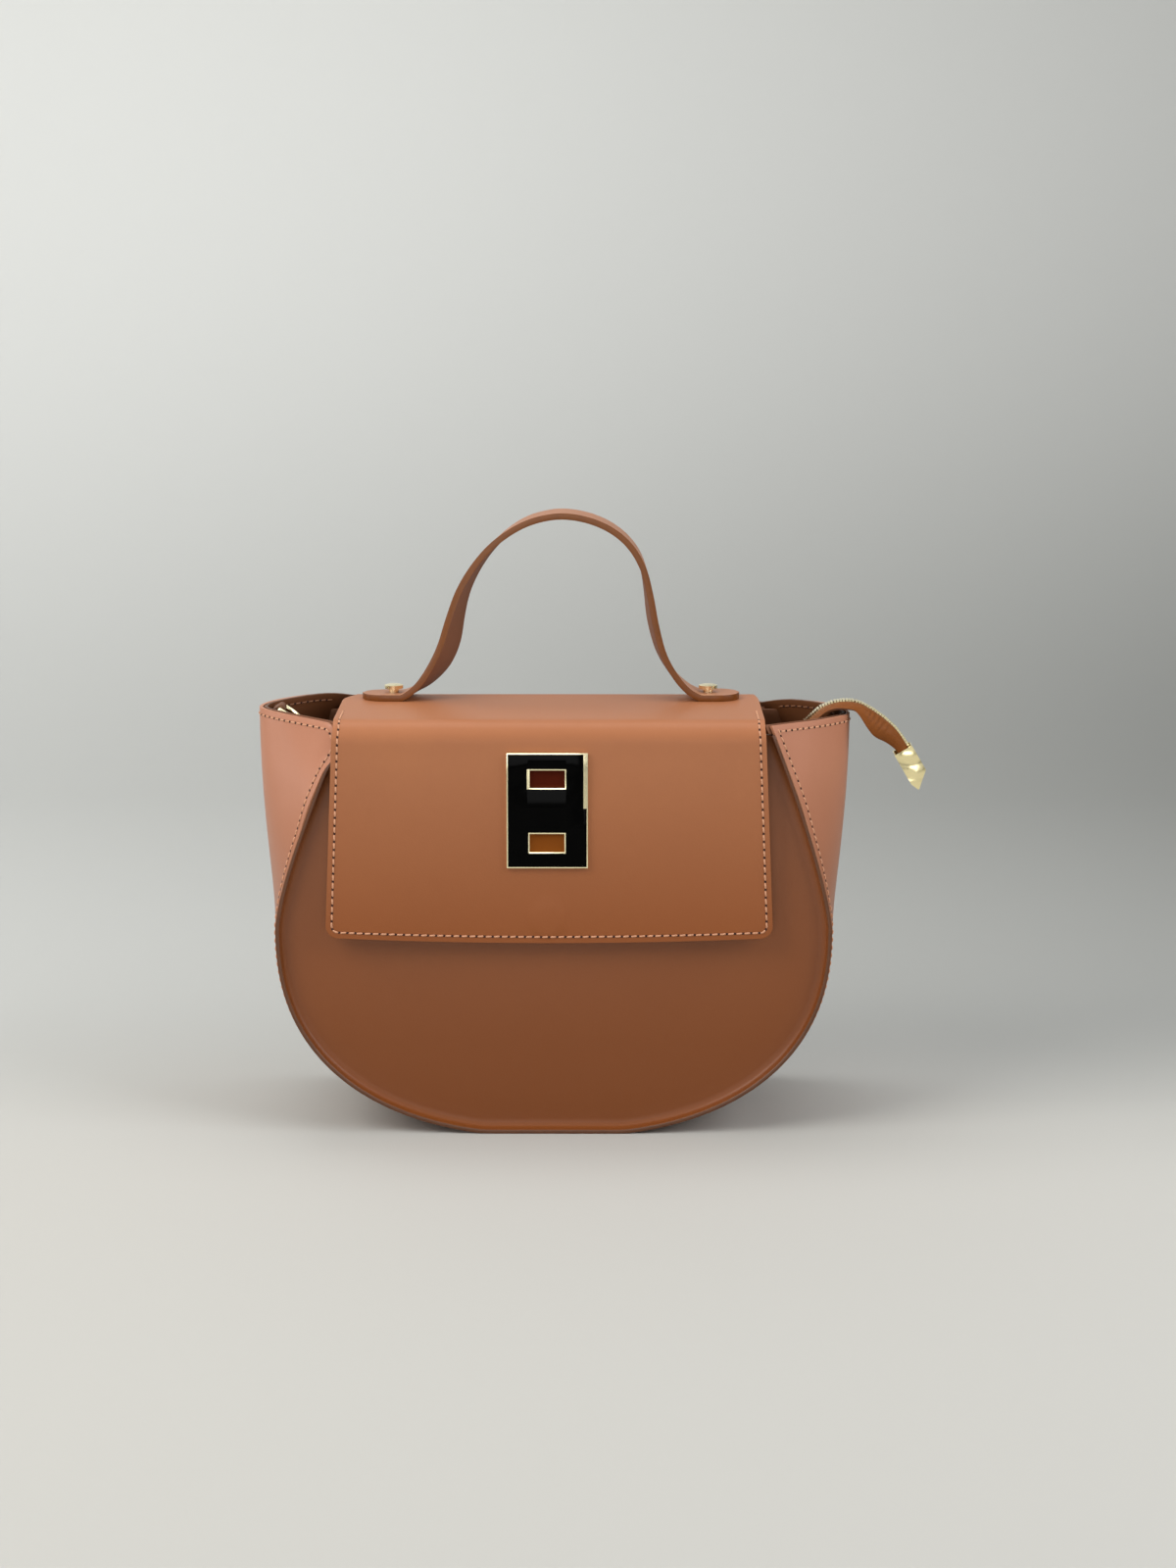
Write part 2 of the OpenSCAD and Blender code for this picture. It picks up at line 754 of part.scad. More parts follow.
module zip_end_cap() {
    d = route_dir(tail_route, len(tail_route) - 1);
    color("#d9b26a")
        translate([tail_end[0], 0, tail_end[1]])
            rotate([0, -atan2(d[1], d[0]), 0])
                difference() {
                    rotate([90, 0, 0])
                        linear_extrude(cap_w, center = true)
                            polygon([
                                [-cap_mouth, cap_top], [cap_l * 2 / 3 - cap_mouth, cap_top],
                                [cap_l - cap_mouth, -cap_deep * 3 / 4],
                                [cap_l * 4 / 5 - cap_mouth, -cap_deep],
                                [-cap_mouth, -cap_deep]
                            ]);
                    translate([-cap_mouth - cut, -cap_w / 2 + cap_wall, -cap_deep + cap_wall / 2])
                        cube([
                            cap_mouth + cut + fit_gap, cap_w - 2 * cap_wall,
                            cap_deep + cap_top - cap_wall
                        ]);
                }
}

// Flap: the back panel's leather carries on over the mouth; two bends, then the hanging front
flap_clear = 0.3;
flap_total_t = flap_t + flap_lining_t;
flap_half = flap_w / 2;
flap_back_y = half_depth(panel_top) - rim_turn;
// The inside of the front bend clears the corner of the turned rim
bend_room = front_bend_r - flap_total_t - flap_clear;
bend_over_rim = max(0, front_bend_r - flap_z + panel_top);
flap_front_y = -half_depth(panel_top) - max(
    flap_clear + flap_total_t,
    front_bend_r - sqrt(bend_room * bend_room - bend_over_rim * bend_over_rim));
neck_half = mouth_half - panel_inset - panel_t - 2 * skin_gap;
flap_start_z = panel_top + hinge_gap;
bend_z = flap_z - front_bend_r;
bend_steps = 8;
// The two magnet cases nearly meet in the space between the flap and the panel
flap_stand_off = -flap_front_y - flap_total_t - half_depth(bend_z);
magnet_t = (rim_turn + flap_stand_off - skin_gap) / 2;

// Path of a flap face at an inset from the outer face, in Y and Z, over one stretch
function neck_path(inset) = concat(
    [[flap_back_y - inset, flap_start_z]],
    [for (i = [0:bend_steps])
        let (a = 90 * i / bend_steps, r = back_bend_r - inset)
        [flap_back_y - back_bend_r + r * cos(a), flap_z - back_bend_r + r * sin(a)]]
);
function top_path(inset) = concat(
    [[flap_back_y - back_bend_r, flap_z - inset]],
    [for (i = [0:bend_steps])
        let (a = 90 + 90 * i / bend_steps, r = front_bend_r - inset)
        [flap_front_y + front_bend_r + r * cos(a), bend_z + r * sin(a)]]
);

module across_bag(half, points) {
    translate([-half, 0, 0])
        rotate([90, 0, 90])
            linear_extrude(2 * half)
                polygon(points);
}

module flap_top_skin(from, to) {
    across_bag(neck_half, concat(neck_path(from), reversed(neck_path(to))));
    across_bag(flap_half, concat(top_path(from), reversed(top_path(to))));
}

module screw_bores() {
    for (side = [-1, 1])
        translate([handle_x + side * screw_span / 2, handle_y, flap_z - flap_total_t - cut])
            cylinder(d = screw_post_d + 2 * fit_gap, h = flap_total_t + cut + strap_t + cut, $fn = 32);
}

module flap_top() {
    color("#ae7758")
        difference() {
            flap_top_skin(0, flap_t);
            screw_bores();
        }
}

module flap_top_lining() {
    color("#4a3020")
        difference() {
            flap_top_skin(flap_t, flap_total_t);
            screw_bores();
        }
}

// Bottom edge of the flap front bows down a little in the middle
flap_bow = 2;
bow_steps = 8;

// Places children in the flap front's plane: origin on its outer face at the bend
module flap_front_frame() {
    translate([0, flap_front_y, bend_z])
        rotate([-panel_tilt, 0, 0])
            translate([0, 0, -hinge_gap])
                children();
}

function corner_arc(x, z, side) = [
    for (i = [0:bow_steps])
        let (a = 90 * i / bow_steps)
        [side * (x - flap_corner_r + flap_corner_r * cos(a)), -z + flap_corner_r - flap_corner_r * sin(a)]
];
function bow_line(x, z) = [
    for (i = [1:2 * bow_steps - 1])
        let (u = 1 - i / bow_steps)
        [u * (x - flap_corner_r), -z - flap_bow * (1 - u * u)]
];
flap_front_points = concat(
    [[flap_half, 0]],
    corner_arc(flap_low_w / 2, flap_drop - flap_bow, 1),
    bow_line(flap_low_w / 2, flap_drop - flap_bow),
    reversed(corner_arc(flap_low_w / 2, flap_drop - flap_bow, -1)),
    [[-flap_half, 0]]
);

module flap_front_slab(from, thickness) {
    translate([0, from + thickness, 0])
        rotate([90, 0, 0])
            linear_extrude(thickness)
                polygon(flap_front_points);
}

plate_drop = (bend_z - plate_z) / cos(panel_tilt);
post_d = 2.4;
post_inset = 3.4;
washer_d = 5;
washer_t = 0.8;

module plate_frame() {
    flap_front_frame()
        translate([plate_x, 0, hinge_gap - plate_drop])
            children();
}

module post_places() {
    for (sx = [-1, 1])
        for (sz = [-1, 1])
            translate([sx * (plate_w / 2 - post_inset), 0, sz * (plate_h / 2 - post_inset)])
                children();
}

module plate_post_bores() {
    plate_frame()
        post_places()
            translate([0, flap_total_t + cut, 0])
                rotate([90, 0, 0])
                    cylinder(d = post_d + 2 * fit_gap, h = flap_total_t + 2 * cut, $fn = 24);
}

module flap_front() {
    color("#9d6647")
        difference() {
            flap_front_frame() flap_front_slab(0, flap_t);
            plate_post_bores();
        }
}

module flap_front_lining() {
    color("#4a3020")
        difference() {
            flap_front_frame() flap_front_slab(flap_t, flap_lining_t);
            plate_post_bores();
        }
}

// Upright block on the plate: centred, from a depth outward
module plate_block(w, h, from, thickness) {
    translate([-w / 2, from - thickness, -h / 2])
        cube([w, thickness, h]);
}

module window_places() {
    for (side = [-1, 1])
        translate([0, 0, side * window_offset])
            children();
}

module clasp_frame() {
    color("#d9b26a")
        plate_frame() {
            difference() {
                plate_block(plate_w, plate_h, 0, plate_t);
                difference() {
                    plate_block(
                        plate_w - 2 * line_w, plate_h - 2 * line_w, enamel_t - plate_t, enamel_t + cut);
                    window_places()
                        plate_block(
                            window_w + 2 * line_w, window_h + 2 * line_w,
                            enamel_t - plate_t + cut, enamel_t + 3 * cut);
                }
                window_places()
                    plate_block(window_w, window_h, cut, plate_t + 2 * cut);
            }
            post_places()
                rotate([-90, 0, 0])
                    cylinder(d = post_d, h = flap_total_t + washer_t, $fn = 24);
        }
}

module clasp_enamel() {
    color("#101010")
        plate_frame()
            difference() {
                plate_block(
                    plate_w - 2 * line_w, plate_h - 2 * line_w, enamel_t - plate_t, enamel_t);
                window_places()
                    plate_block(
                        window_w + 2 * line_w, window_h + 2 * line_w,
                        enamel_t - plate_t + cut, enamel_t + 2 * cut);
            }
}

module clasp_washers() {
    color("#8f8f8f")
        plate_frame()
            post_places()
                translate([0, flap_total_t, 0])
                    rotate([-90, 0, 0])
                        difference() {
                            cylinder(d = washer_d, h = washer_t, $fn = 32);
                            translate([0, 0, -cut])
                                cylinder(d = post_d + 2 * fit_gap, h = washer_t + 2 * cut, $fn = 24);
                        }
}

module flap_magnet() {
    color("#d9b26a")
        flap_front_frame()
            translate([plate_x, flap_total_t + magnet_t, hinge_gap - (bend_z - magnet_z) / cos(panel_tilt)])
                magnet_case();
}

// Handle: a flat strap of two layers that rises from two flat tabs
strap_t = 2 * layer_t;
handle_x = -1.9;
handle_y = flap_back_y - back_bend_r - strap_w / 2;
pivot_rise = 14;
pivot_z = flap_z + pivot_rise;
tab_gap = 0.1;
half_span = screw_span / 2;
// Middle line of the strap, as shares of the half span and of the rise
route_shares = [
    [-0.97, 0], [-0.93, 0.006], [-0.85, 0.06], [-0.775, 0.15], [-0.7, 0.28],
    [-0.64, 0.44], [-0.575, 0.59], [-0.485, 0.72], [-0.37, 0.835], [-0.23, 0.925],
    [-0.09, 0.978], [0.07, 1], [0.24, 0.978], [0.39, 0.92], [0.505, 0.832],
    [0.585, 0.71], [0.63, 0.56], [0.665, 0.4], [0.715, 0.24], [0.79, 0.12],
    [0.87, 0.04], [0.94, 0.004], [0.97, 0]
];
route_fill = 3;
tab_line_z = flap_z + tab_gap + strap_t / 2;

function shared_point(s) = [handle_x + s[0] * half_span, tab_line_z + s[1] * (handle_rise - strap_t / 2)];
handle_points = concat(
    [[handle_x - half_span - tab_reach, tab_line_z], [handle_x - half_span, tab_line_z]],
    [for (s = route_shares) shared_point(s)],
    [[handle_x + half_span, tab_line_z], [handle_x + half_span + tab_reach, tab_line_z]]
);

// Smooth curve through the handle's points
function curve_point(a, b, c, d, u) =
    (2 * b + (c - a) * u + (2 * a - 5 * b + 4 * c - d) * u * u
        + (3 * b - a - 3 * c + d) * u * u * u) / 2;
function smoothed(p, fill) = let (n = len(p) - 1) concat(
    [for (i = [0:n - 1]) for (k = [0:fill - 1])
        curve_point(p[max(i - 1, 0)], p[i], p[i + 1], p[min(i + 2, n)], k / fill)],
    [p[n]]
);
handle_line = smoothed(handle_points, route_fill);

// The same line shifted square to itself
function shifted(line, offset) = [
    for (i = [0:len(line) - 1])
        let (d = route_dir(line, i)) line[i] + [-d[1], d[0]] * offset
];

module strap_band(from, to) {
    translate([0, handle_y + strap_w / 2, 0])
        rotate([90, 0, 0])
            linear_extrude(strap_w)
                polygon(concat(shifted(handle_line, from), reversed(shifted(handle_line, to))));
}

// The strap above the pivot, with a round root that turns about the pivot line
module above_pivot(root_r) {
    reach = half_span + tab_reach + strap_w;
    translate([handle_x - reach, handle_y - strap_w, pivot_z])
        cube([2 * reach, 2 * strap_w, handle_rise + strap_w]);
    translate([handle_x - reach, handle_y, pivot_z])
        rotate([0, 90, 0])
            cylinder(r = root_r, h = 2 * reach, $fn = 96);
}

module handle_layer(from, to) {
    intersection() {
        strap_band(from, to);
        above_pivot(strap_w / 2);
    }
}

module handle_outer() {
    color("#a8704d") handle_layer(0, strap_t / 2);
}

module handle_inner() {
    color("#98694a") handle_layer(-strap_t / 2, 0);
}

tab_root_r = strap_w / 2 / cos(handle_swing / 2) + tab_gap;

module handle_tab(side) {
    end_x = handle_x + side * (half_span + tab_reach - strap_w / 2);
    difference() {
        intersection() {
            strap_band(-strap_t / 2, strap_t / 2);
            union() {
                translate([end_x, handle_y, flap_z])
                    cylinder(d = strap_w, h = pivot_rise, $fn = 64);
                translate([side > 0 ? handle_x : end_x, handle_y - strap_w / 2, flap_z])
                    cube([abs(end_x - handle_x), strap_w, pivot_rise]);
            }
        }
        above_pivot(tab_root_r);
        screw_bores();
    }
}

module handle_tab_left() {
    color("#a8704d") handle_tab(-1);
}

module handle_tab_right() {
    color("#a8704d") handle_tab(1);
}

// Standing screw: a domed head on a post that passes through the strap and the flap
back_t = 1;
dome_rise = 0.5;

module handle_screw(side) {
    top = flap_z + tab_gap + strap_t + screw_proud;
    translate([handle_x + side * half_span, handle_y, 0]) {
        translate([0, 0, flap_z - flap_total_t - back_t])
            cylinder(d = screw_post_d, h = top - screw_head_t - flap_z + flap_total_t + back_t, $fn = 32);
        translate([0, 0, top - screw_head_t])
            cylinder(d = screw_head_d, h = screw_head_t - dome_rise, $fn = 64);
        translate([0, 0, top - dome_rise])
            rotate_extrude($fn = 64)
                polygon([
                    [0, 0], [screw_head_d / 2, 0], [screw_head_d / 3, dome_rise * 3 / 4], [0, dome_rise]
                ]);
    }
}

module handle_screw_left() {
    color("#d9b26a") handle_screw(-1);
}

module handle_screw_right() {
    color("#d9b26a") handle_screw(1);
}

module screw_backs() {
    color("#8f8f8f")
        for (side = [-1, 1])
            translate([handle_x + side * half_span, handle_y, flap_z - flap_total_t - back_t])
                difference() {
                    cylinder(d = screw_head_d, h = back_t, $fn = 48);
                    translate([0, 0, -cut])
                        cylinder(d = screw_post_d + 2 * fit_gap, h = back_t + 2 * cut, $fn = 32);
                }
}

front_panel();
back_panel();
gusset();
lining_gusset();
lining_front();
lining_back();
base_board();
mouth_facing_front();
mouth_facing_back();
wing_facing_left();
wing_facing_right();
ring_loop_left();
ring_loop_right();
magnet_socket();
zip_end_strips();
zip_end_tapes();
zip_end_teeth();
zip_ramp_halves();
zip_ramp_teeth();
zip_strip_front();
zip_tape_front();
zip_teeth_front();
zip_strip_back();
zip_tape_back();
zip_teeth_back();
zip_slider();
zip_pull();
zip_tail_halves();
zip_tail_teeth();
zip_end_cap();
d_ring_left();
d_ring_right();
flap_top();
flap_top_lining();
handle_tab_left();
handle_tab_right();
handle_screw_left();
handle_screw_right();
screw_backs();
handle_outer();
handle_inner();
flap_front();
flap_front_lining();
clasp_frame();
clasp_enamel();
clasp_washers();
flap_magnet();
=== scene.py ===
# %% [markdown]
# # A half-moon flap handbag, dressed for a studio picture
#
# The bag is smooth tan calf over a half-moon body whose side gusset flares into two wings, with
# a stitched flap, a flat handle, an enamelled plate and a zip whose tail hangs over the right
# wing. The solids come from CAD as a fixed frame. Metal parts keep their solids and get a finish,
# all but the plate and the teeth at the zip's two ends. Leather and lining are rebuilt here as
# thin sheets, because leather shows itself by its bends, its painted edges and its stitches.

# %% Load the frame
import math

import bpy
import numpy as np
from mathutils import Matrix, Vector


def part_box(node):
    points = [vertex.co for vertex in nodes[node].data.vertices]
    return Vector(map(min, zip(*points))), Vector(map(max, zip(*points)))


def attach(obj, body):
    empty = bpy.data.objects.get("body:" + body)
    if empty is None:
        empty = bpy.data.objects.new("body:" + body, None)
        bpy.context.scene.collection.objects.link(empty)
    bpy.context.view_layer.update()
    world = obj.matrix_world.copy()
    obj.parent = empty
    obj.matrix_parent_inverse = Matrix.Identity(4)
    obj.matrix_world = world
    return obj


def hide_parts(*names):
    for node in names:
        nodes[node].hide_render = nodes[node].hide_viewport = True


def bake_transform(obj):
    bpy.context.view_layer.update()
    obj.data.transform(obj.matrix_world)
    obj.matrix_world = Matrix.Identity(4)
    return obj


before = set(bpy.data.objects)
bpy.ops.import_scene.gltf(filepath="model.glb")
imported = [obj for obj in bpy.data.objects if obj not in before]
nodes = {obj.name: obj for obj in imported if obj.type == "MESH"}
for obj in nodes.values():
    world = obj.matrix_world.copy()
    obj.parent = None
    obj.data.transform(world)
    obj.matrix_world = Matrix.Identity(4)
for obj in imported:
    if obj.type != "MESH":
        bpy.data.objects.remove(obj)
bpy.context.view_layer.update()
MM = 0.001

# %% [markdown]
# ## Camera
#
# The picture was taken from a little above and far enough away that the bag hardly converges.
# A long lens 1.35 m away gives the same view. Eleven degrees down puts the mouth nearly level
# with the eye, so the flap's top shows only as a thin band.

# %% Place the camera
camera_place = (0.0188, -1.35, 0.414)
camera_down, camera_turn = 11.18, 0.17
camera_data = bpy.data.cameras.new("studio_camera")
camera_data.lens = 71.1
camera_data.sensor_width = 36
camera_data.clip_end = 20
camera = bpy.data.objects.new("studio_camera", camera_data)
camera.location = camera_place
camera.rotation_euler = (math.radians(90 - camera_down), 0, math.radians(camera_turn))
bpy.context.scene.collection.objects.link(camera)
bpy.context.scene.camera = camera
print("camera at", tuple(round(v, 3) for v in camera.location))

# %% [markdown]
# ## Small helpers for materials
#
# Colours are written as a paint maker would, as sRGB hex. Blender mixes light in linear values,
# so one function converts them. Another adds a node, sets what is given as a value and joins
# what is given as another node's output. Every pattern is placed by the object's own
# coordinates, which are the bag's, so it needs no unwrapping and has a real size everywhere.

# %% Helpers for colours and nodes
def linear(hex_code):
    parts = [int(hex_code[i:i + 2], 16) / 255 for i in (1, 3, 5)]
    return [c / 12.92 if c <= 0.04045 else ((c + 0.055) / 1.055) ** 2.4 for c in parts] + [1]


def add(tree, kind, inputs=(), **settings):
    node = tree.nodes.new(kind)
    for name, value in settings.items():
        setattr(node, name, value)
    for socket, value in dict(inputs).items():
        if isinstance(value, bpy.types.NodeSocket):
            tree.links.new(value, node.inputs[socket])
        else:
            node.inputs[socket].default_value = value
    return node


def new_material(name):
    """An empty material, its nodes, and the place on the object that its patterns start from."""
    material = bpy.data.materials.new(name)
    material.use_nodes = True
    tree = material.node_tree
    tree.nodes.clear()
    return material, tree, add(tree, "ShaderNodeTexCoord").outputs["Object"]


def per_metre(size_mm):
    """Scale of a pattern whose features are this many millimetres apart."""
    return 1000 / size_mm


def by_height(tree, place, below, above, low_z, high_z):
    """A colour that turns from the one below to the one above between two heights in metres."""
    height = add(tree, "ShaderNodeSeparateXYZ", {"Vector": place}).outputs["Z"]
    climb = add(tree, "ShaderNodeMapRange",
                {"Value": height, "From Min": low_z, "From Max": high_z})
    return add(tree, "ShaderNodeMix",
               {"Factor": climb.outputs["Result"], "A": below, "B": above},
               data_type="RGBA").outputs["Result"]


print("tan in linear light:", [round(v, 3) for v in linear("#9d6647")[:3]])

# %% [markdown]
# ## Smooth calf leather
#
# The bag is vegetable-tanned calf, dyed through and finished with a thin wax. It gives the eye
# three things: a broad soft shine, a grain of pores 0.7 mm apart that is only just seen, and
# slow clouds of lighter and darker dye. The grain is cells and noise in one bump, and the clouds
# mix two close colours. The large panels also turn a little deeper and warmer towards their foot,
# where another colour takes over: painted shade, for the light that falls off down the bag.

# %% Leather
cloud_mm, streak_mm, pore_mm, grain_mm, wrinkle_mm = 45, 3, 0.7, 0.35, 1.6


def leather(name, hex_mid, hex_deep, roughness=0.42, crease=0.0, shine=0.33, foot_shade=None,
            foot_shade_z=(0.075, 0.175)):
    material, tree, place = new_material(name)
    clouds = add(tree, "ShaderNodeTexNoise",
                 {"Vector": place, "Scale": per_metre(cloud_mm), "Detail": 3, "Roughness": 0.5})
    streaks = add(tree, "ShaderNodeTexNoise",
                  {"Vector": place, "Scale": per_metre(streak_mm), "Detail": 3,
                   "Roughness": 0.55})
    blend = add(tree, "ShaderNodeMath",
                {0: streaks.outputs["Fac"], 1: 0.3, 2: clouds.outputs["Fac"]},
                operation="MULTIPLY_ADD")
    spread = add(tree, "ShaderNodeMapRange",
                 {"Value": blend.outputs[0], "From Min": 0.4, "From Max": 0.9})
    colour = add(tree, "ShaderNodeMix",
                 {"Factor": spread.outputs["Result"], "A": linear(hex_deep), "B": linear(hex_mid)},
                 data_type="RGBA").outputs["Result"]
    # Painted shade: towards the foot the colour turns deeper and warmer, where less light falls
    if foot_shade:
        colour = by_height(tree, place, linear(foot_shade), colour, *foot_shade_z)
    pores = add(tree, "ShaderNodeTexVoronoi", {"Vector": place, "Scale": per_metre(pore_mm)},
                feature="F1")
    fine = add(tree, "ShaderNodeTexNoise",
               {"Vector": place, "Scale": per_metre(grain_mm), "Detail": 2})
    grain = add(tree, "ShaderNodeMath", {0: pores.outputs["Distance"], 1: fine.outputs["Fac"]},
                operation="ADD")
    bump = add(tree, "ShaderNodeBump",
               {"Height": grain.outputs[0], "Strength": 0.09, "Distance": 0.0002})
    normal = bump.outputs["Normal"]
    if crease:
        # Where the leather is folded back on itself, fine wrinkles run across the fold
        across = add(tree, "ShaderNodeMapping", {"Vector": place, "Scale": (1, 0.35, 0.6)},
                     vector_type="TEXTURE")
        wrinkles = add(tree, "ShaderNodeTexNoise",
                       {"Vector": across.outputs["Vector"], "Scale": per_metre(wrinkle_mm),
                        "Detail": 3, "Distortion": 0.8})
        normal = add(tree, "ShaderNodeBump",
                     {"Height": wrinkles.outputs["Fac"], "Strength": crease,
                      "Distance": 0.0006, "Normal": normal}).outputs["Normal"]
    sheen = add(tree, "ShaderNodeMapRange",
                {"Value": clouds.outputs["Fac"], "To Min": roughness - 0.04,
                 "To Max": roughness + 0.05})
    skin = add(tree, "ShaderNodeBsdfPrincipled",
               {"Base Color": colour, "Roughness": sheen.outputs["Result"],
                "Normal": normal, "IOR": 1.5, "Specular IOR Level": shine})
    add(tree, "ShaderNodeOutputMaterial", {"Surface": skin.outputs["BSDF"]})
    return material


# The panels, gusset and flap get a painted shade at their foot, darker and warmer low down
body_calf = leather("body_calf", "#8a5331", "#864f2e", foot_shade="#7a421a", foot_shade_z=(0.04, 0.14))
gusset_calf = leather("gusset_calf", "#b77c60", "#b2775b", roughness=0.36, foot_shade="#8f5430",
                      foot_shade_z=(0.07, 0.16))
flap_calf = leather("flap_calf", "#a66a45", "#a16643", roughness=0.45, shine=0.25, foot_shade="#87491e",
                    foot_shade_z=(0.08, 0.165))
handle_calf = leather("handle_calf", "#a46f50", "#9f6a4b", roughness=0.46)
tail_calf = leather("tail_calf", "#82481a", "#6c3b13", roughness=0.5, crease=0.45, shine=0.15)
facing_calf = leather("facing_calf", "#6b3f22", "#5e361c", roughness=0.55)
flesh_side = leather("flesh_side", "#7d5138", "#744a31", roughness=0.7)
# Painted shade for the plate's windows: a dark sheet, darkest in the upper window
window_shade_calf = leather("window_shade_calf", "#481304", "#3c1003", roughness=0.6, shine=0.05,
                     foot_shade="#7a4212", foot_shade_z=(0.130, 0.156))
print("leathers:", [m.name for m in bpy.data.materials if "calf" in m.name or "side" in m.name])

# %% [markdown]
# ## Painted edges, thread and holes
#
# Cut edges are sealed with a rubbery edge paint, darker and more orange than the calf, with a
# satin shine and small lumps where the brush stopped. The thread is bonded nylon, 0.8 mm thick
# and twisted, so its colour has a fine slant. The holes between stitches are shade.

# %% Edge paint, thread and stitch holes
def edge_paint(name, hex_mid, hex_deep, hex_wing=None):
    material, tree, place = new_material(name)
    brush = add(tree, "ShaderNodeTexNoise",
                {"Vector": place, "Scale": per_metre(4), "Detail": 3, "Roughness": 0.6})
    colour = add(tree, "ShaderNodeMix",
                 {"Factor": brush.outputs["Fac"], "A": linear(hex_deep), "B": linear(hex_mid)},
                 data_type="RGBA").outputs["Result"]
    if hex_wing:
        # Along the wings the edge is skived thin and folded, so the calf itself shows there
        colour = by_height(tree, place, colour, linear(hex_wing), 0.105, 0.135)
    bump = add(tree, "ShaderNodeBump",
               {"Height": brush.outputs["Fac"], "Strength": 0.2, "Distance": 0.0003})
    skin = add(tree, "ShaderNodeBsdfPrincipled",
               {"Base Color": colour, "Roughness": 0.4,
                "Normal": bump.outputs["Normal"], "IOR": 1.5})
    add(tree, "ShaderNodeOutputMaterial", {"Surface": skin.outputs["BSDF"]})
    return material


def twisted_thread(name, hex_mid, hex_deep):
    material, tree, place = new_material(name)
    twist = add(tree, "ShaderNodeTexWave",
                {"Vector": place, "Scale": per_metre(1.2), "Distortion": 1.5},
                bands_direction="DIAGONAL")
    colour = add(tree, "ShaderNodeMix",
                 {"Factor": twist.outputs["Fac"], "A": linear(hex_deep), "B": linear(hex_mid)},
                 data_type="RGBA")
    bump = add(tree, "ShaderNodeBump",
               {"Height": twist.outputs["Fac"], "Strength": 0.4, "Distance": 0.0002})
    skin = add(tree, "ShaderNodeBsdfPrincipled",
               {"Base Color": colour.outputs["Result"], "Roughness": 0.5,
                "Normal": bump.outputs["Normal"]})
    add(tree, "ShaderNodeOutputMaterial", {"Surface": skin.outputs["BSDF"]})
    return material


def shade(name, hex_mid):
    material, tree, place = new_material(name)
    # The stitch hole's painted shade, mottled a little
    shade_mottle = add(tree, "ShaderNodeTexNoise", {"Vector": place, "Scale": per_metre(1)})
    colour = add(tree, "ShaderNodeMix",
                 {"Factor": shade_mottle.outputs["Fac"], "A": linear("#150904"), "B": linear(hex_mid)},
                 data_type="RGBA")
    skin = add(tree, "ShaderNodeBsdfPrincipled",
               {"Base Color": colour.outputs["Result"], "Roughness": 0.9})
    add(tree, "ShaderNodeOutputMaterial", {"Surface": skin.outputs["BSDF"]})
    return material


body_edge = edge_paint("body_edge_paint", "#633716", "#4c280d")
gusset_edge = edge_paint("gusset_edge_paint", "#633716", "#4c280d", hex_wing="#b0785a")
flap_edge = edge_paint("flap_edge_paint", "#93592f", "#834c25")
handle_edge = edge_paint("handle_edge_paint", "#7c4408", "#613305")
thread_mat = twisted_thread("nylon_thread", "#d8a07c", "#c08765")
inner_thread = twisted_thread("dark_nylon_thread", "#8a5a3a", "#724628")
hole_mat = shade("stitch_hole_shade", "#4a2010")
print("edge and thread finishes ready")

# %% [markdown]
# ## Metal, enamel and cloth
#
# The fittings are zinc castings plated with light gold. Plating is a metal, so its colour sits in
# the reflection, and handling leaves the finest scratches in its shine. The zip's end cap is
# pressed from sheet, so its faces also wave a little every 6 mm. The plate's field is cold
# enamel, black and glassy, poured level with its gilt line. Lining is a cotton twill and the zip
# tape is woven, so both get crossing waves, about twice as wide as real threads so that they show.

# %% Plated metal and enamel
def plated_metal(name, hex_mid, roughness, wave=0.06, wave_mm=3, wave_depth=0.0002, detail=4):
    material, tree, place = new_material(name)
    haze = add(tree, "ShaderNodeTexNoise",
               {"Vector": place, "Scale": per_metre(wave_mm), "Detail": detail, "Roughness": 0.6})
    dull = add(tree, "ShaderNodeMapRange",
               {"Value": haze.outputs["Fac"], "To Min": roughness * 0.6,
                "To Max": roughness * 1.5})
    bump = add(tree, "ShaderNodeBump",
               {"Height": haze.outputs["Fac"], "Strength": wave, "Distance": wave_depth})
    skin = add(tree, "ShaderNodeBsdfPrincipled",
               {"Base Color": linear(hex_mid), "Metallic": 1.0,
                "Roughness": dull.outputs["Result"], "Normal": bump.outputs["Normal"]})
    add(tree, "ShaderNodeOutputMaterial", {"Surface": skin.outputs["BSDF"]})
    return material


def cold_enamel(name, hex_mid):
    material, tree, place = new_material(name)
    ripple = add(tree, "ShaderNodeTexNoise", {"Vector": place, "Scale": per_metre(9)})
    bump = add(tree, "ShaderNodeBump",
               {"Height": ripple.outputs["Fac"], "Strength": 0.05, "Distance": 0.0004})
    depth = add(tree, "ShaderNodeMix",
                {"Factor": ripple.outputs["Fac"], "A": linear("#020202"), "B": linear(hex_mid)},
                data_type="RGBA")
    skin = add(tree, "ShaderNodeBsdfPrincipled",
               {"Base Color": depth.outputs["Result"], "Roughness": 0.1, "IOR": 1.5,
                "Normal": bump.outputs["Normal"], "Specular IOR Level": 0.03})
    add(tree, "ShaderNodeOutputMaterial", {"Surface": skin.outputs["BSDF"]})
    return material


print("metal and enamel finishes ready")

# %% Cloth, and the last of the materials
# About two pi. Dividing by it sets the wave node's level bands 1.98 times thread_mm apart,
# and the diagonal ones 2.29 times
full_turn = 6.3


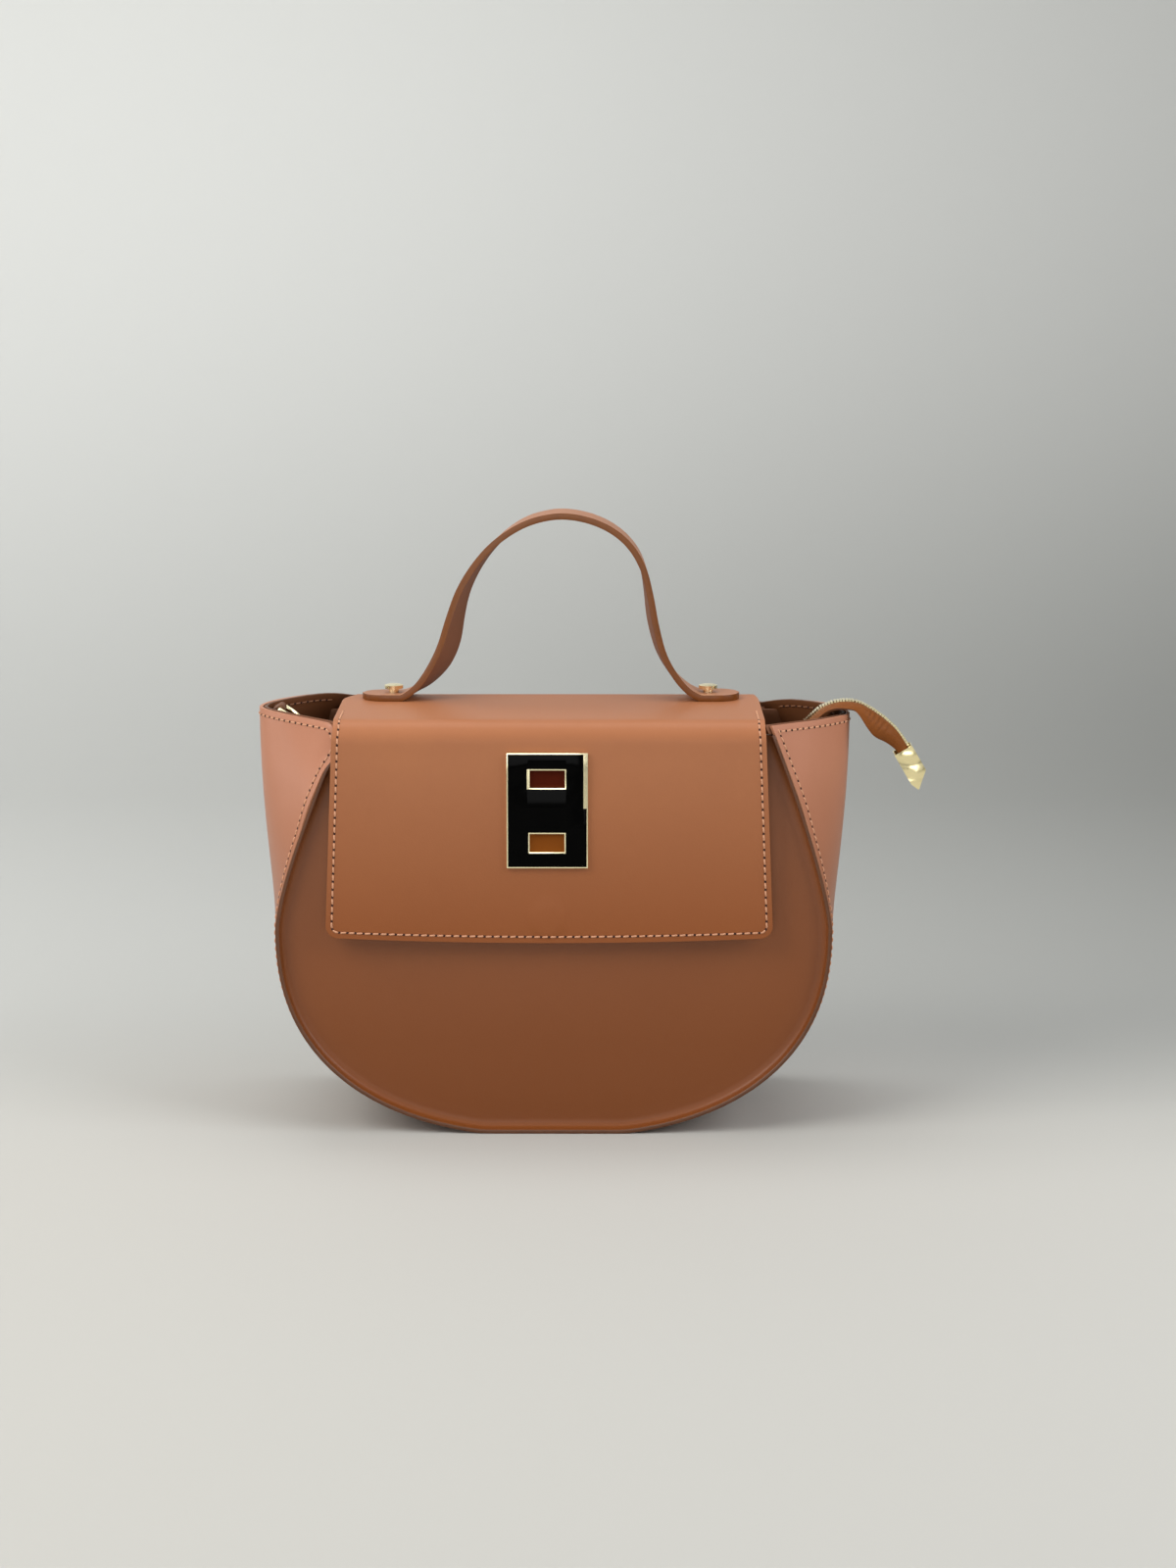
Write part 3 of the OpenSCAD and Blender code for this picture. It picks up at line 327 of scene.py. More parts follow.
def woven(name, hex_mid, hex_deep, thread_mm):
    material, tree, place = new_material(name)
    bands = {"Vector": place, "Scale": per_metre(thread_mm) / full_turn, "Distortion": 0.3}
    warp = add(tree, "ShaderNodeTexWave", bands, bands_direction="DIAGONAL")
    weft = add(tree, "ShaderNodeTexWave", bands, bands_direction="Z")
    weave = add(tree, "ShaderNodeMath", {0: warp.outputs["Fac"], 1: weft.outputs["Fac"]},
                operation="MULTIPLY")
    colour = add(tree, "ShaderNodeMix",
                 {"Factor": weave.outputs[0], "A": linear(hex_deep), "B": linear(hex_mid)},
                 data_type="RGBA")
    bump = add(tree, "ShaderNodeBump",
               {"Height": weave.outputs[0], "Strength": 0.4, "Distance": 0.0003})
    skin = add(tree, "ShaderNodeBsdfPrincipled",
               {"Base Color": colour.outputs["Result"], "Roughness": 0.85,
                "Normal": bump.outputs["Normal"], "Sheen Weight": 0.2})
    add(tree, "ShaderNodeOutputMaterial", {"Surface": skin.outputs["BSDF"]})
    return material


light_gold = plated_metal("light_gold_plate", "#fdf1c6", 0.18)
pressed_gold = plated_metal("pressed_gold_plate", "#fdeeb9", 0.16, wave=0.6, wave_mm=6,
                            wave_depth=0.002, detail=0)
nickel = plated_metal("nickel_plate", "#b9b4aa", 0.3)
black_enamel = cold_enamel("black_cold_enamel", "#040404")
twill = woven("cotton_twill", "#4a2f1d", "#2e1b0f", 0.8)
tape_cloth = woven("zip_tape_cloth", "#5a3a26", "#3b2415", 0.6)
fibre_board = leather("fibre_board", "#3a2c22", "#2a1f17", roughness=0.8)
print("materials:", len(bpy.data.materials))

# %% [markdown]
# ## Sheets of leather
#
# Every leather piece is a sheet with three finishes: the face, the back and the painted edge. A
# grid of points gives the face. Blender's Solidify adds the back and the edge, and a narrow Bevel
# rounds the edge as paint does. The modifiers are applied, so that the finished mesh is what
# rides on the bag's moving bodies.

# %% Helpers for meshes
def mesh_object(name, points, faces, materials, smooth_angle=50):
    mesh = bpy.data.meshes.new(name)
    mesh.from_pydata([tuple(float(v) * MM for v in p) for p in points], [], faces)
    for material in materials:
        mesh.materials.append(material)
    mesh.update()
    mesh.shade_smooth()
    mesh.set_sharp_from_angle(angle=math.radians(smooth_angle))
    obj = bpy.data.objects.new(name, mesh)
    bpy.context.scene.collection.objects.link(obj)
    return obj


def grid_faces(rows, columns, flip=False):
    faces = []
    for i in range(rows - 1):
        for j in range(columns - 1):
            a = i * columns + j
            quad = (a, a + 1, a + columns + 1, a + columns)
            faces.append(quad[::-1] if flip else quad)
    return faces


def settle(obj, smooth_angle=50):
    """Applies the modifiers, so the shape that is seen is the mesh itself."""
    evaluated = obj.evaluated_get(bpy.context.evaluated_depsgraph_get())
    mesh = bpy.data.meshes.new_from_object(evaluated)
    obj.modifiers.clear()
    old, obj.data = obj.data, mesh
    bpy.data.meshes.remove(old)
    mesh.name = obj.name
    mesh.shade_smooth()
    mesh.set_sharp_from_angle(angle=math.radians(smooth_angle))
    return obj


def bevel_edges(obj, width, segments=2, angle=50):
    """Adds a narrow bevel, its width in mm, where faces meet more sharply than the angle."""
    bevel = obj.modifiers.new("edge", "BEVEL")
    bevel.width = width * MM
    bevel.segments = segments
    bevel.limit_method = "ANGLE"
    bevel.angle_limit = math.radians(angle)


def sheet_piece(name, grid, thickness, materials, face, round_edge=0.35, smooth_angle=50):
    """A sheet from a grid of face points, in mm. Its middle faces towards face, its back the other
    way."""
    grid = np.asarray(grid, float)
    rows, columns = grid.shape[:2]
    i, j = (rows - 1) // 2, (columns - 1) // 2
    middle = np.cross(grid[i, j + 1] - grid[i, j], grid[i + 1, j] - grid[i, j])
    flip = float(middle @ np.asarray(face, float)) < 0
    obj = mesh_object(name, grid.reshape(-1, 3), grid_faces(rows, columns, flip), materials)
    weld = obj.modifiers.new("weld", "WELD")
    weld.merge_threshold = 0.01 * MM
    solid = obj.modifiers.new("solid", "SOLIDIFY")
    solid.thickness = thickness * MM
    solid.offset = -1
    solid.use_even_offset = True
    solid.material_offset = 1
    solid.material_offset_rim = 2
    if round_edge:
        bevel_edges(obj, round_edge)
    return settle(obj, smooth_angle)


print("helpers ready")

# %% [markdown]
# ## The shape of the body
#
# Seen from the front the body is a half moon: a superellipse below its widest level and steadily
# leaning sides above. The gusset follows that outline and swells at the sides into a wing with a
# soft crease. These are the CAD's own formulas, sampled more finely. Three things of this one bag
# are added: the crease is rounder towards the back, the wings' rims wave a little, and the left
# wing's front corner has been pushed in under the flap. Every piece there uses the same two
# formulas for its points, one for the gusset and one for the panels, so all of them follow.

# %% The outline
belly_w, belly_h, mouth_w, body_h = 242, 91, 188, 180.5
panel_step, mouth_d, base_d, wing_w = 4.5, 78, 94, 261
gusset_t, rim_turn, facing_h = 1.6, 5, 15
round_power, side_power, base_flat, gusset_crown = 2.35, 1.33, 1.6, 2.5
front_crease_share, back_crease_share, belly_crease_share = 0.23, 0.4, 1.0
panel_top = body_h - panel_step
zip_z = panel_top - facing_h
tilt = math.atan((base_d - mouth_d) / 2 / body_h)


def half_depth(z):
    return mouth_d / 2 + (body_h - z) * math.tan(tilt)


def rise(z):
    return max(0.0, (z - belly_h) / (body_h - belly_h))


def outline_half(z):
    return mouth_w / 2 + (belly_w - mouth_w) / 2 * (1 - rise(z) ** side_power)


def station(z=None, angle=None):
    """One place on the outline: x, z, the inward direction and how the slope thickens it."""
    if angle is None:
        slope = (belly_w - mouth_w) / 2 * side_power * rise(z) ** (side_power - 1)
        slope = slope / (body_h - belly_h) if rise(z) > 0 else 0
        return np.array([outline_half(z), z, -1, 0, math.hypot(1, slope)])
    c, s = max(0.0, math.cos(angle)), math.sin(angle)
    low = (belly_h + base_flat) * s ** (2 / round_power)
    nx = c ** (2 - 2 / round_power) / (belly_w / 2)
    nz = s ** (2 - 2 / round_power) / (belly_h + base_flat)
    n = math.hypot(nx, nz)
    d = (0, 1) if low > belly_h else (-nx / n, nz / n)
    return np.array([belly_w / 2 * c ** (2 / round_power), max(0.0, belly_h - low), d[0], d[1], 1])


def mirrored(s, side):
    """A station of the right half on the left, for side -1, or as it is, for side 1."""
    return s * np.array([side, 1, side, 1, 1])


def all_stations(top, upper=30, lower=44):
    """Stations from the left wing's rim, down and round under the base, to the right one's."""
    right = [station(z=top + (belly_h - top) * i / upper) for i in range(upper + 1)]
    right += [station(angle=math.pi / 2 * i / lower) for i in range(1, lower + 1)]
    return [mirrored(s, -1) for s in right[:-1]] + right[::-1]


stations = all_stations(body_h)
print("outline stations:", len(stations), "lean of the panels:", round(math.degrees(tilt), 2))

# %% How the wings have softened
def soft_step(value, start, end):
    t = min(1.0, max(0.0, (value - start) / (end - start)))
    return t * t * (3 - 2 * t)


# Heights in mm by which a wing's rim waves, from its front corner past its tip to its back corner
sway_shares = (-1, -0.5, 0, 0.33, 0.64, 0.8, 1)
left_sway = (0, 1.35, 1.8, 2.7, 3.0, 2.3, -0.6)
right_sway = (0, -0.8, -1.1, 0.9, 0.7, -0.9, -4.2)
# How far the left front corner is pushed in and down, in mm
corner_push, corner_dive = 2.6, 7.5


def soft_interp(value, places, values, spread):
    """Passes near the given values with a soft bend at each."""
    near = [np.interp(value + spread * shift, places, values) for shift in (-2, -1, 0, 1, 2)]
    return float(np.dot(near, (0.1, 0.2, 0.4, 0.2, 0.1)))


def rim_sway(x, y):
    """How far a wing's rim waves up or down from level."""
    return soft_interp(y / (mouth_d / 2), sway_shares, left_sway if x < 0 else right_sway, 0.06)


def tuck(point):
    """Waves the rims, and pushes the left front corner in and down under the flap."""
    x, y, z = point
    near = soft_step(-y, 8, 36) * soft_step(-x, 60, 84)
    low = soft_step(-y, 34.4, 38.6) * soft_step(-x, 78, 88) * soft_step(z, 158, 178)
    sway = rim_sway(x, y) * soft_step(abs(x), 84, 94) * soft_step(z, 140, 179)
    inward = corner_push * near * soft_step(z, 96, 172)
    return np.array([x + inward, y, z - corner_dive * low + sway])


def soft_fold(x, v, z):
    """A soft ridge in a wing's front face, from near its tip down to the seam."""
    off = v + 0.6 + (173 - z) * 0.0125
    height = 0.9 if x < 0 else 0.5
    return height * math.exp(-(off / 0.17) ** 2) * soft_step(z, 128, 150)


print("rim waves mm, left:", left_sway, "right:", right_sway)

# %% Points of the gusset and the panels
def skin_point(s, v, inset=0.0):
    """A point of the gusset at a share v across it, at an inset from its outer face."""
    x, z = s[0], s[1]
    k = front_crease_share if v < 0 else back_crease_share
    k = belly_crease_share + (k - belly_crease_share) * rise(z)
    top = math.sqrt(1 + k * k) - k
    swell = gusset_crown * (z / belly_h) ** 2
    if z > belly_h:
        reach = belly_w / 2 + gusset_crown
        reach += (wing_w / 2 - reach) * (1 - (1 - rise(z)) ** 2)
        swell = reach - outline_half(z)
    bulge = (math.sqrt(1 + k * k) - math.sqrt(v * v + k * k)) / top
    lean = swell * v / math.sqrt(v * v + k * k) / top / half_depth(z)
    side = 0 if s[0] == 0 else math.copysign(1, s[0])
    push = inset * s[4] * math.sqrt(1 + lean * lean) - soft_fold(x, v, z)
    return tuck((x + swell * bulge * side + s[2] * push, v * half_depth(z), z + s[3] * push))


def panel_point(x, depth, z, side=-1):
    """A point in the leaning plane of the front (-1) or back (1) panel, at a depth inside it."""
    y = -mouth_d / 2 + depth * math.cos(tilt) + (z - body_h) * math.sin(tilt)
    up = body_h + (z - body_h) * math.cos(tilt) - depth * math.sin(tilt)
    return tuck((x, y, up)) if side < 0 else np.array([x, -y, up])


tip = skin_point(station(z=body_h), 0)
print("right wing's tip, mm:", [round(float(v), 1) for v in tip])

# %% [markdown]
# ## Gusset
#
# One band of calf runs down one side, under the base and up the other. Its two long edges face
# forward and back beside the panels' turned rims, and its two ends are the mouths of the wings.
# The band is one sheet with a closer grid at the crease and the edges, where it bends most.

# %% Make the gusset
gusset_columns, closer_at_crease = 39, 1.15
across = np.sin(np.linspace(-math.pi / 2, math.pi / 2, gusset_columns))
across = np.sign(across) * np.abs(across) ** closer_at_crease
gusset_grid = [[skin_point(s, v) for v in across] for s in stations]
gusset = sheet_piece("gusset_leather", gusset_grid, gusset_t,
                     [gusset_calf, flesh_side, gusset_edge], face=(0, 0, -1))
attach(gusset, "bag")
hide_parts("gusset")
print("gusset faces:", len(gusset.data.polygons))

# %% [markdown]
# ## Front and back panels
#
# Each panel's rim is turned outward inside the gusset's edge, sewn to it, and the two cut edges
# are painted together. So the panel lies 5 mm deep and curls forward to the rim. Its middle is
# pushed out a little by what the bag holds. The grid runs from the outline in to the middle line:
# a few rows at set distances draw the curl, and the rest carry the crown.

# %% Make the panels
# Steps in from the panel's edge, and the depth that its face has there, both in mm
rim_rows = [(0.0, 0.0), (0.0, 1.0), (0.05, 2.0), (0.2, 3.0), (0.6, 3.9), (1.3, 4.5), (2.4, 4.85),
            (4.0, 4.95)]
crown, panel_leather_t, rim_gap = 2.6, 1.5, 0.15
# The rows of the lower half all run to this height on the middle line
low_centre = 72


def panel_grid(side, inset):
    rows = []
    for s in all_stations(panel_top):
        edge = np.array([s[0] + s[2] * inset * s[4], s[1] + s[3] * inset])
        centre = np.array([0.0, max(edge[1], low_centre)])
        toward = np.array([s[2], s[3]])
        row = []
        for step, depth in rim_rows:
            x, z = edge + toward * step * s[4]
            row.append(panel_point(x, depth, min(z, panel_top), side))
        start = edge + toward * rim_rows[-1][0] * s[4]
        for t in np.linspace(0, 1, 15)[1:]:
            x, z = start + (centre - start) * t
            lift = crown * (1 - (1 - t) ** 2) * min(1, (panel_top - z) / 70 + 0.15)
            row.append(panel_point(x, rim_rows[-1][1] - lift, min(z, panel_top), side))
        rows.append(row)
    return rows


for side, name, node in ((-1, "front_leather", "front_panel"),
                         (1, "back_leather", "back_panel")):
    panel = sheet_piece(name, panel_grid(side, gusset_t + rim_gap), panel_leather_t,
                        [body_calf, flesh_side, body_edge], face=(0, side, 0))
    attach(panel, "bag")
    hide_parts(node)
    print(name, "faces:", len(panel.data.polygons))

# %% [markdown]
# ## Lining
#
# The lining is a brown cotton twill bag inside the leather one, sewn into the facings 15 mm below
# the rims. It could be one cloth simulation, but a lining is cut to fit and pulled tight, so it
# is made as three stretched sheets: one follows the gusset, and two lie on the panels.

# %% Make the lining
def side_edge(s, depth, inset):
    """Where a sheet inside the gusset meets a panel's plane at a depth: x and z."""
    v = 1 - depth / half_depth(s[1])
    p = skin_point(s, v, inset)
    return p[0], p[2]


def flat_area(grid):
    g = np.asarray(grid, float) * MM
    across_quad = np.cross(g[1:, 1:] - g[:-1, :-1], g[1:, :-1] - g[:-1, 1:])
    return float(np.linalg.norm(across_quad, axis=2).sum() / 2)


lining_top = zip_z - 0.3
lining_stations = all_stations(lining_top, upper=16, lower=40)
lining_depth, lining_inset, twill_t, lining_columns = 8.0, 2.9, 0.9, 25
lining_grid = []
for s in lining_stations:
    edge_v = 1 - lining_depth / half_depth(s[1])
    lining_grid.append([skin_point(s, v, lining_inset)
                        for v in np.linspace(-edge_v, edge_v, lining_columns)])
lining_gusset = sheet_piece("lining_twill_gusset", lining_grid, twill_t, [twill] * 3,
                            face=(0, 0, 1), round_edge=0)
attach(lining_gusset, "bag")
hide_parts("lining_gusset")
for side, name, node in ((-1, "lining_twill_front", "lining_front"),
                         (1, "lining_twill_back", "lining_back")):
    rows = []
    for s in lining_stations:
        x, z = side_edge(s, lining_depth, lining_inset)
        z = min(z, lining_top)
        climb = max(z, low_centre) - z
        rows.append([panel_point(x * (1 - t), lining_depth, z + climb * t, side)
                     for t in np.linspace(0, 1, 9)])
    cloth = sheet_piece(name, rows, twill_t, [twill] * 3, face=(0, -side, 0), round_edge=0)
    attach(cloth, "bag")
    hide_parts(node)
    print(name, "area m2:", round(flat_area(rows), 4))

# %% [markdown]
# ## Facings
#
# A band of the bag's own calf faces the inside of the mouth, because the hand rubs there. It
# rises to the rims, 15 mm on the panels and a little more in the wings, which stand higher.
# Each facing is a sheet whose good side looks into the bag. The wings' facings flare towards the
# corners above the panels, so that no light shows between a wing and the flap.

# %% Make the facings
facing_t, wing_gap = 1.2, 0.3
facing_depth = rim_turn + 1.8 + rim_gap
facing_inset = gusset_t + wing_gap + facing_t
facing_skins = [facing_calf, flesh_side, body_edge]
for side, name, node in ((-1, "facing_leather_front", "mouth_facing_front"),
                         (1, "facing_leather_back", "mouth_facing_back")):
    rows = []
    for z in np.linspace(zip_z, panel_top, 6):
        s = station(z=z)
        x = side_edge(s, facing_depth + facing_t, gusset_t + 0.4)[0]
        rows.append([panel_point(u * x, facing_depth + facing_t, z, side)
                     for u in np.linspace(-1, 1, 41)])
    facing = sheet_piece(name, rows, facing_t, facing_skins, face=(0, -side, 0))
    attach(facing, "bag")
    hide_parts(node)
corner_short, tucked_short = 1.2, 5.0
for side, name, node in ((-1, "facing_leather_left_wing", "wing_facing_left"),
                         (1, "facing_leather_right_wing", "wing_facing_right")):
    rows = []
    for z in (zip_z, 164.5, 168, 171.5, 175, 176.6, 178.5, body_h):
        s = mirrored(station(z=z), side)
        # Above the panels the facing reaches on towards the corners, but not into the tucked one
        front_short, back_short = facing_depth, facing_depth
        if z >= panel_top:
            front_short, back_short = (corner_short if side > 0 else tucked_short), corner_short
        front_v, back_v = 1 - front_short / half_depth(z), 1 - back_short / half_depth(z)
        rows.append([skin_point(s, v * (back_v if v > 0 else front_v), facing_inset)
                     for v in np.sin(np.linspace(-1, 1, 27) * math.pi / 2)])
    facing = sheet_piece(name, rows, facing_t, facing_skins, face=(-side, 0, 0))
    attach(facing, "bag")
    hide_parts(node)
print("facings made; wing rim at", body_h, "mm")

# %% [markdown]
# ## Strap-ring loops
#
# In each wing a short leather band is folded round the ring's bar and sewn to the facing. Its
# side view is one line: up the wing's wall, round the bar and down again to its own start. That
# line is swept across the loop's width.

# %% Make the ring loops
loop_w, loop_t, loop_reach, bar_r, loop_tail = 8.7, 1.1, 4.07, 1.4, 9
ring_x, left_bar_z, right_bar_z = 120.81, 181.5, 171.377


def loop_profile():
    """The loop's side view, from the wing's wall round the bar and back, about the bar's middle."""
    out = loop_reach - loop_t / 2
    r = bar_r + loop_t / 2
    line = [(out, -r - loop_tail), (out, -r - 4), (out, -r - 1), (out - 0.3, 0.4)]
    for k in range(9):
        a = math.radians(40 + 200 * k / 8)
        line.append((r * math.cos(a), r * math.sin(a)))
    line += [(out - loop_t - 1.4, -r - 3), (out - loop_t, -r - 6), (out - loop_t, -r - loop_tail)]
    return line


for side, name, node, z in ((-1, "loop_leather_left", "ring_loop_left", left_bar_z),
                            (1, "loop_leather_right", "ring_loop_right", right_bar_z)):
    rows = [[(side * ring_x + side * px, y, z + pz)
             for y in np.linspace(-loop_w / 2, loop_w / 2, 7)] for px, pz in loop_profile()]
    loop = sheet_piece(name, rows, loop_t, facing_skins, face=(0, 0, 1), round_edge=0.2,
                       smooth_angle=80)
    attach(loop, "bag")
    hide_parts(node)
print("ring loops at", ring_x, "mm from the middle")

# %% [markdown]
# ## The flap
#
# The flap starts on the back panel, turns over the mouth in a tight bend, crosses it, turns down
# in a wide soft bend and hangs to below the magnet. Two leathers are glued back to back, so it
# is springy and its edge shows one thick painted line. The back strip and the flap are two
# sheets that meet on the flat behind the handle. Each bends over one of the flap's two hinges.

# %% The flap's line and widths
flap_z, flap_half, bend_half, flap_low_half = 182.5, 93.0, 93.5, 96.8
flap_centre, flap_drop, corner_r = -1.9, 84.4, 5.5
front_r, flap_t, flap_bow, flap_belly = 10.0, 2.6, 2.0, 0.5
flap_front_y, bend_z, bend_steps = -43.3694, 172.5, 12
neck_half, neck_start_y, join_y = 89.85, 14, 29.0
plate_x, magnet_z, magnet_r, magnet_step, step_soft = -2.6, 96.3, 7.6, 0.4, 0.4
flap_straight, flap_low_flat = flap_drop - corner_r, flap_low_half - corner_r


def open_join(obj, where):
    """Takes away the cut face where two sheets meet, so that no seam shows there."""
    mesh = obj.data
    gone = {p.index for p in mesh.polygons
            if abs(p.center.y - where * MM) < 0.02 * MM and abs(p.normal.y) > 0.9}
    keep = [p for p in mesh.polygons if p.index not in gone]
    faces = [tuple(p.vertices) for p in keep]
    slots = [p.material_index for p in keep]
    points = [tuple(v.co) for v in mesh.vertices]
    mesh.clear_geometry()
    mesh.from_pydata(points, [], faces)
    for p, index in zip(mesh.polygons, slots):
        p.material_index = index
    mesh.update()
    return len(gone)


def half_at(d):
    """The flap's half width at a drop below its front bend."""
    return bend_half + (flap_low_half - bend_half) * min(1.0, max(0.0, d / flap_straight))


def bend_half_at(k):
    """The flap's half width at a step down its front bend."""
    return flap_half + (bend_half - flap_half) * soft_step(k, 5, bend_steps)


def front_place(d):
    """The y and z of the flap's front at a drop below its bend."""
    return flap_front_y - d * math.sin(tilt), bend_z - d * math.cos(tilt)


def flap_rows():
    """Rows of (half width, y, z, drop, middle) down the flap, from its join to its edge."""
    rows = []
    for y in np.concatenate([np.linspace(join_y, neck_start_y, 8),
                             np.linspace(11, flap_front_y + front_r, 15)]):
        ease = min(1.0, max(0.0, (y - neck_start_y) / (join_y - neck_start_y)))
        rows.append((flap_half - (flap_half - neck_half) * ease ** 2, y, flap_z, 0.0,
                     flap_centre * (1 - ease ** 2)))
    for k in range(1, bend_steps + 1):
        a = math.radians(90 + 90 * k / bend_steps)
        rows.append((bend_half_at(k), flap_front_y + front_r + front_r * math.cos(a),
                     bend_z + front_r * math.sin(a), 0.0, flap_centre))
    for d in np.linspace(2.5, flap_straight, 30):
        rows.append((half_at(d), *front_place(d), d, flap_centre))
    for k in range(1, 10):
        a = math.radians(90 * k / 9)
        d = flap_straight + corner_r * math.sin(a)
        rows.append((flap_low_flat + corner_r * math.cos(a), *front_place(d), d, flap_centre))
    return rows


def flap_point(u, row, off=0.0):
    """A place on the flap's face at a share u across it; off stands it off the face, in mm."""
    half, y, z, drop, middle = row
    x = middle + u * half
    bow = flap_bow * (1 - min(1, abs(u * half) / flap_low_flat) ** 2)
    bow *= (drop / flap_drop) ** 3
    extra = bow if drop else 0
    # The hidden magnet shows as a faint round step, and the leather bellies a little
    ring = math.hypot(x - plate_x, z - extra - magnet_z)
    lift = magnet_step / (1 + math.exp((ring - magnet_r) / step_soft)) if drop else 0.0
    lift += flap_belly * math.sin(math.pi * min(1, drop / flap_drop)) * (1 - u * u)
    if drop:
        out = off + lift
        return (x, y - extra * math.sin(tilt) - out * math.cos(tilt),
                z - extra * math.cos(tilt) + out * math.sin(tilt))
    a = math.pi / 2
    if y < flap_front_y + front_r:
        a = math.atan2(z - bend_z, y - flap_front_y - front_r)
    return (x, y + off * math.cos(a), z + off * math.sin(a))


rows_of_flap = flap_rows()
print("rows down the flap:", len(rows_of_flap))

# %% Make the flap
flap_columns, closer_at_sides = 141, 1.04
shares = np.linspace(-1, 1, flap_columns)
shares = np.sign(shares) * (1 - (1 - np.abs(shares)) ** closer_at_sides)
flap_grid = [[flap_point(u, row) for u in shares] for row in rows_of_flap]
flap = sheet_piece("flap_leather", flap_grid, flap_t, [flap_calf, facing_calf, flap_edge],
                   face=(0, -1, 0.5), round_edge=0)
opened = open_join(flap, join_y)
bevel_edges(flap, 0.5, segments=3)
settle(flap)
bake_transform(flap)
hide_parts("flap_top", "flap_top_lining", "flap_front", "flap_front_lining")
print("flap faces:", len(flap.data.polygons))

# %% Make the flap's back strip
def sewn_strip_y(z):
    """Where the strip's face lies on the back panel, to which it is sewn."""
    return 35.9 + (176 - z) * math.tan(tilt)


strip_rows = [(sewn_strip_y(z), z) for z in np.linspace(160.5, 175.5, 9)]
strip_rows += [(35.8, 176.6), (35.3, 178.0)]
back_bend_y, back_bend_z, back_bend_r = 30.2, 177.4, 5.1
strip_rows += [(back_bend_y + back_bend_r * math.cos(math.radians(a)),
                back_bend_z + back_bend_r * math.sin(math.radians(a))) for a in range(15, 91, 9)]
strip_rows += [(join_y, flap_z)]
strip_grid = [[(u * neck_half, y, z) for u in np.linspace(-1, 1, 61)] for y, z in strip_rows]
strip = sheet_piece("flap_back_strip", strip_grid, 1.7, [flap_calf, facing_calf, body_edge],
                    face=(0, 1, 0.5), round_edge=0)
opened += open_join(strip, join_y)
bevel_edges(strip, 0.4, segments=3)
settle(strip)
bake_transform(strip)
print("faces opened at the join:", opened)

# %% [markdown]
# ## Handle
#
# One flat strap of two leathers rises from two tabs. It isn't quite symmetric: worn straps take
# a twist, and on this one the left limb shows its inner face. The strap's middle line is sampled
# from a few measured places by a smooth curve. A frame turned by the twist carries the width,
# and the front edge stays where the line is.

# %% The handle's line
handle_x, handle_y, half_span, tab_reach, screw_reach = -1.9, 20.1994, 70.4, 14.0, 5
strap_w, strap_t, tab_line_z, handle_rise = 20.0, 2.8, 184.0, 81.2
route_shares = [
    (-0.97, 0), (-0.93, 0.006), (-0.85, 0.06), (-0.775, 0.15), (-0.7, 0.28),
    (-0.64, 0.44), (-0.575, 0.59), (-0.485, 0.72), (-0.37, 0.835), (-0.23, 0.925),
    (-0.09, 0.978), (0.07, 1), (0.24, 0.978), (0.39, 0.92), (0.505, 0.832),
    (0.585, 0.71), (0.63, 0.56), (0.665, 0.4), (0.715, 0.24), (0.79, 0.12),
    (0.87, 0.04), (0.94, 0.004), (0.97, 0)]
handle_line = [(handle_x - half_span - reach, tab_line_z) for reach in (tab_reach, screw_reach, 0)]
handle_line += [(handle_x + a * half_span, tab_line_z + b * handle_rise) for a, b in route_shares]
handle_line += [(handle_x + half_span + reach, tab_line_z) for reach in (0, screw_reach, tab_reach)]


def smooth_line(points, fill):
    """A smooth curve through the points, with this many steps between two of them."""
    p = np.array(points, float)
    out = []
    for i in range(len(p) - 1):
        a, b, c, d = p[max(i - 1, 0)], p[i], p[i + 1], p[min(i + 2, len(p) - 1)]
        for u in np.arange(fill) / fill:
            out.append((2 * b + (c - a) * u + (2 * a - 5 * b + 4 * c - d) * u * u
                        + (3 * b - a - 3 * c + d) * u ** 3) / 2)
    return np.array(out + [p[-1]])


def distances_along(line):
    return np.concatenate([[0], np.cumsum(np.linalg.norm(np.diff(line, axis=0), axis=1))])


def even_steps(line, step):
    """The same line with points a step apart, and their distances along it."""
    lengths = distances_along(line)
    places = np.linspace(0, lengths[-1], max(2, int(round(lengths[-1] / step)) + 1))
    columns = [np.interp(places, lengths, line[:, k]) for k in range(line.shape[1])]
    return np.stack(columns, 1), places


strap_line, strap_places = even_steps(smooth_line(handle_line, 6), 1.6)
strap_length = strap_places[-1]
print("strap length mm:", round(strap_length, 1))

# %% Make the handle
# Heights on the limbs in mm, and how far the strap is turned there in degrees
left_twist = ((184, 190, 200, 210, 224, 240, 254, 263), (0, 11, 20.5, 20, 13, 8, 4, 0))
right_twist = ((185, 191, 203, 213, 222, 232, 246, 258), (0, 3.5, 5.5, 6.5, 6, 3, 0, 0))
strap_rows = []
for i, ((x, z), place) in enumerate(zip(strap_line, strap_places)):
    ahead = strap_line[min(i + 1, len(strap_line) - 1)] - strap_line[max(i - 1, 0)]
    ahead = ahead / np.linalg.norm(ahead)
    up = np.array([-ahead[1], 0, ahead[0]])
    twist = left_twist if x < handle_x else right_twist
    turn = math.radians(soft_interp(z, *twist, 2.5))
    wide = np.array([0, 1, 0]) * math.cos(turn) - up * math.sin(turn)
    lift = up * math.cos(turn) + np.array([0, 1, 0]) * math.sin(turn)
    end = min(place, strap_length - place)
    half = strap_w / 2
    if end < half:
        half = max(0.6, math.sqrt(max(0.0, half * half - (half - end) ** 2)))
    front = np.array([x, handle_y - strap_w / 2, z])
    centre = front + wide * strap_w / 2
    strap_rows.append([centre + wide * half * u + lift * strap_t / 2
                       for u in np.linspace(-1, 1, 15)])
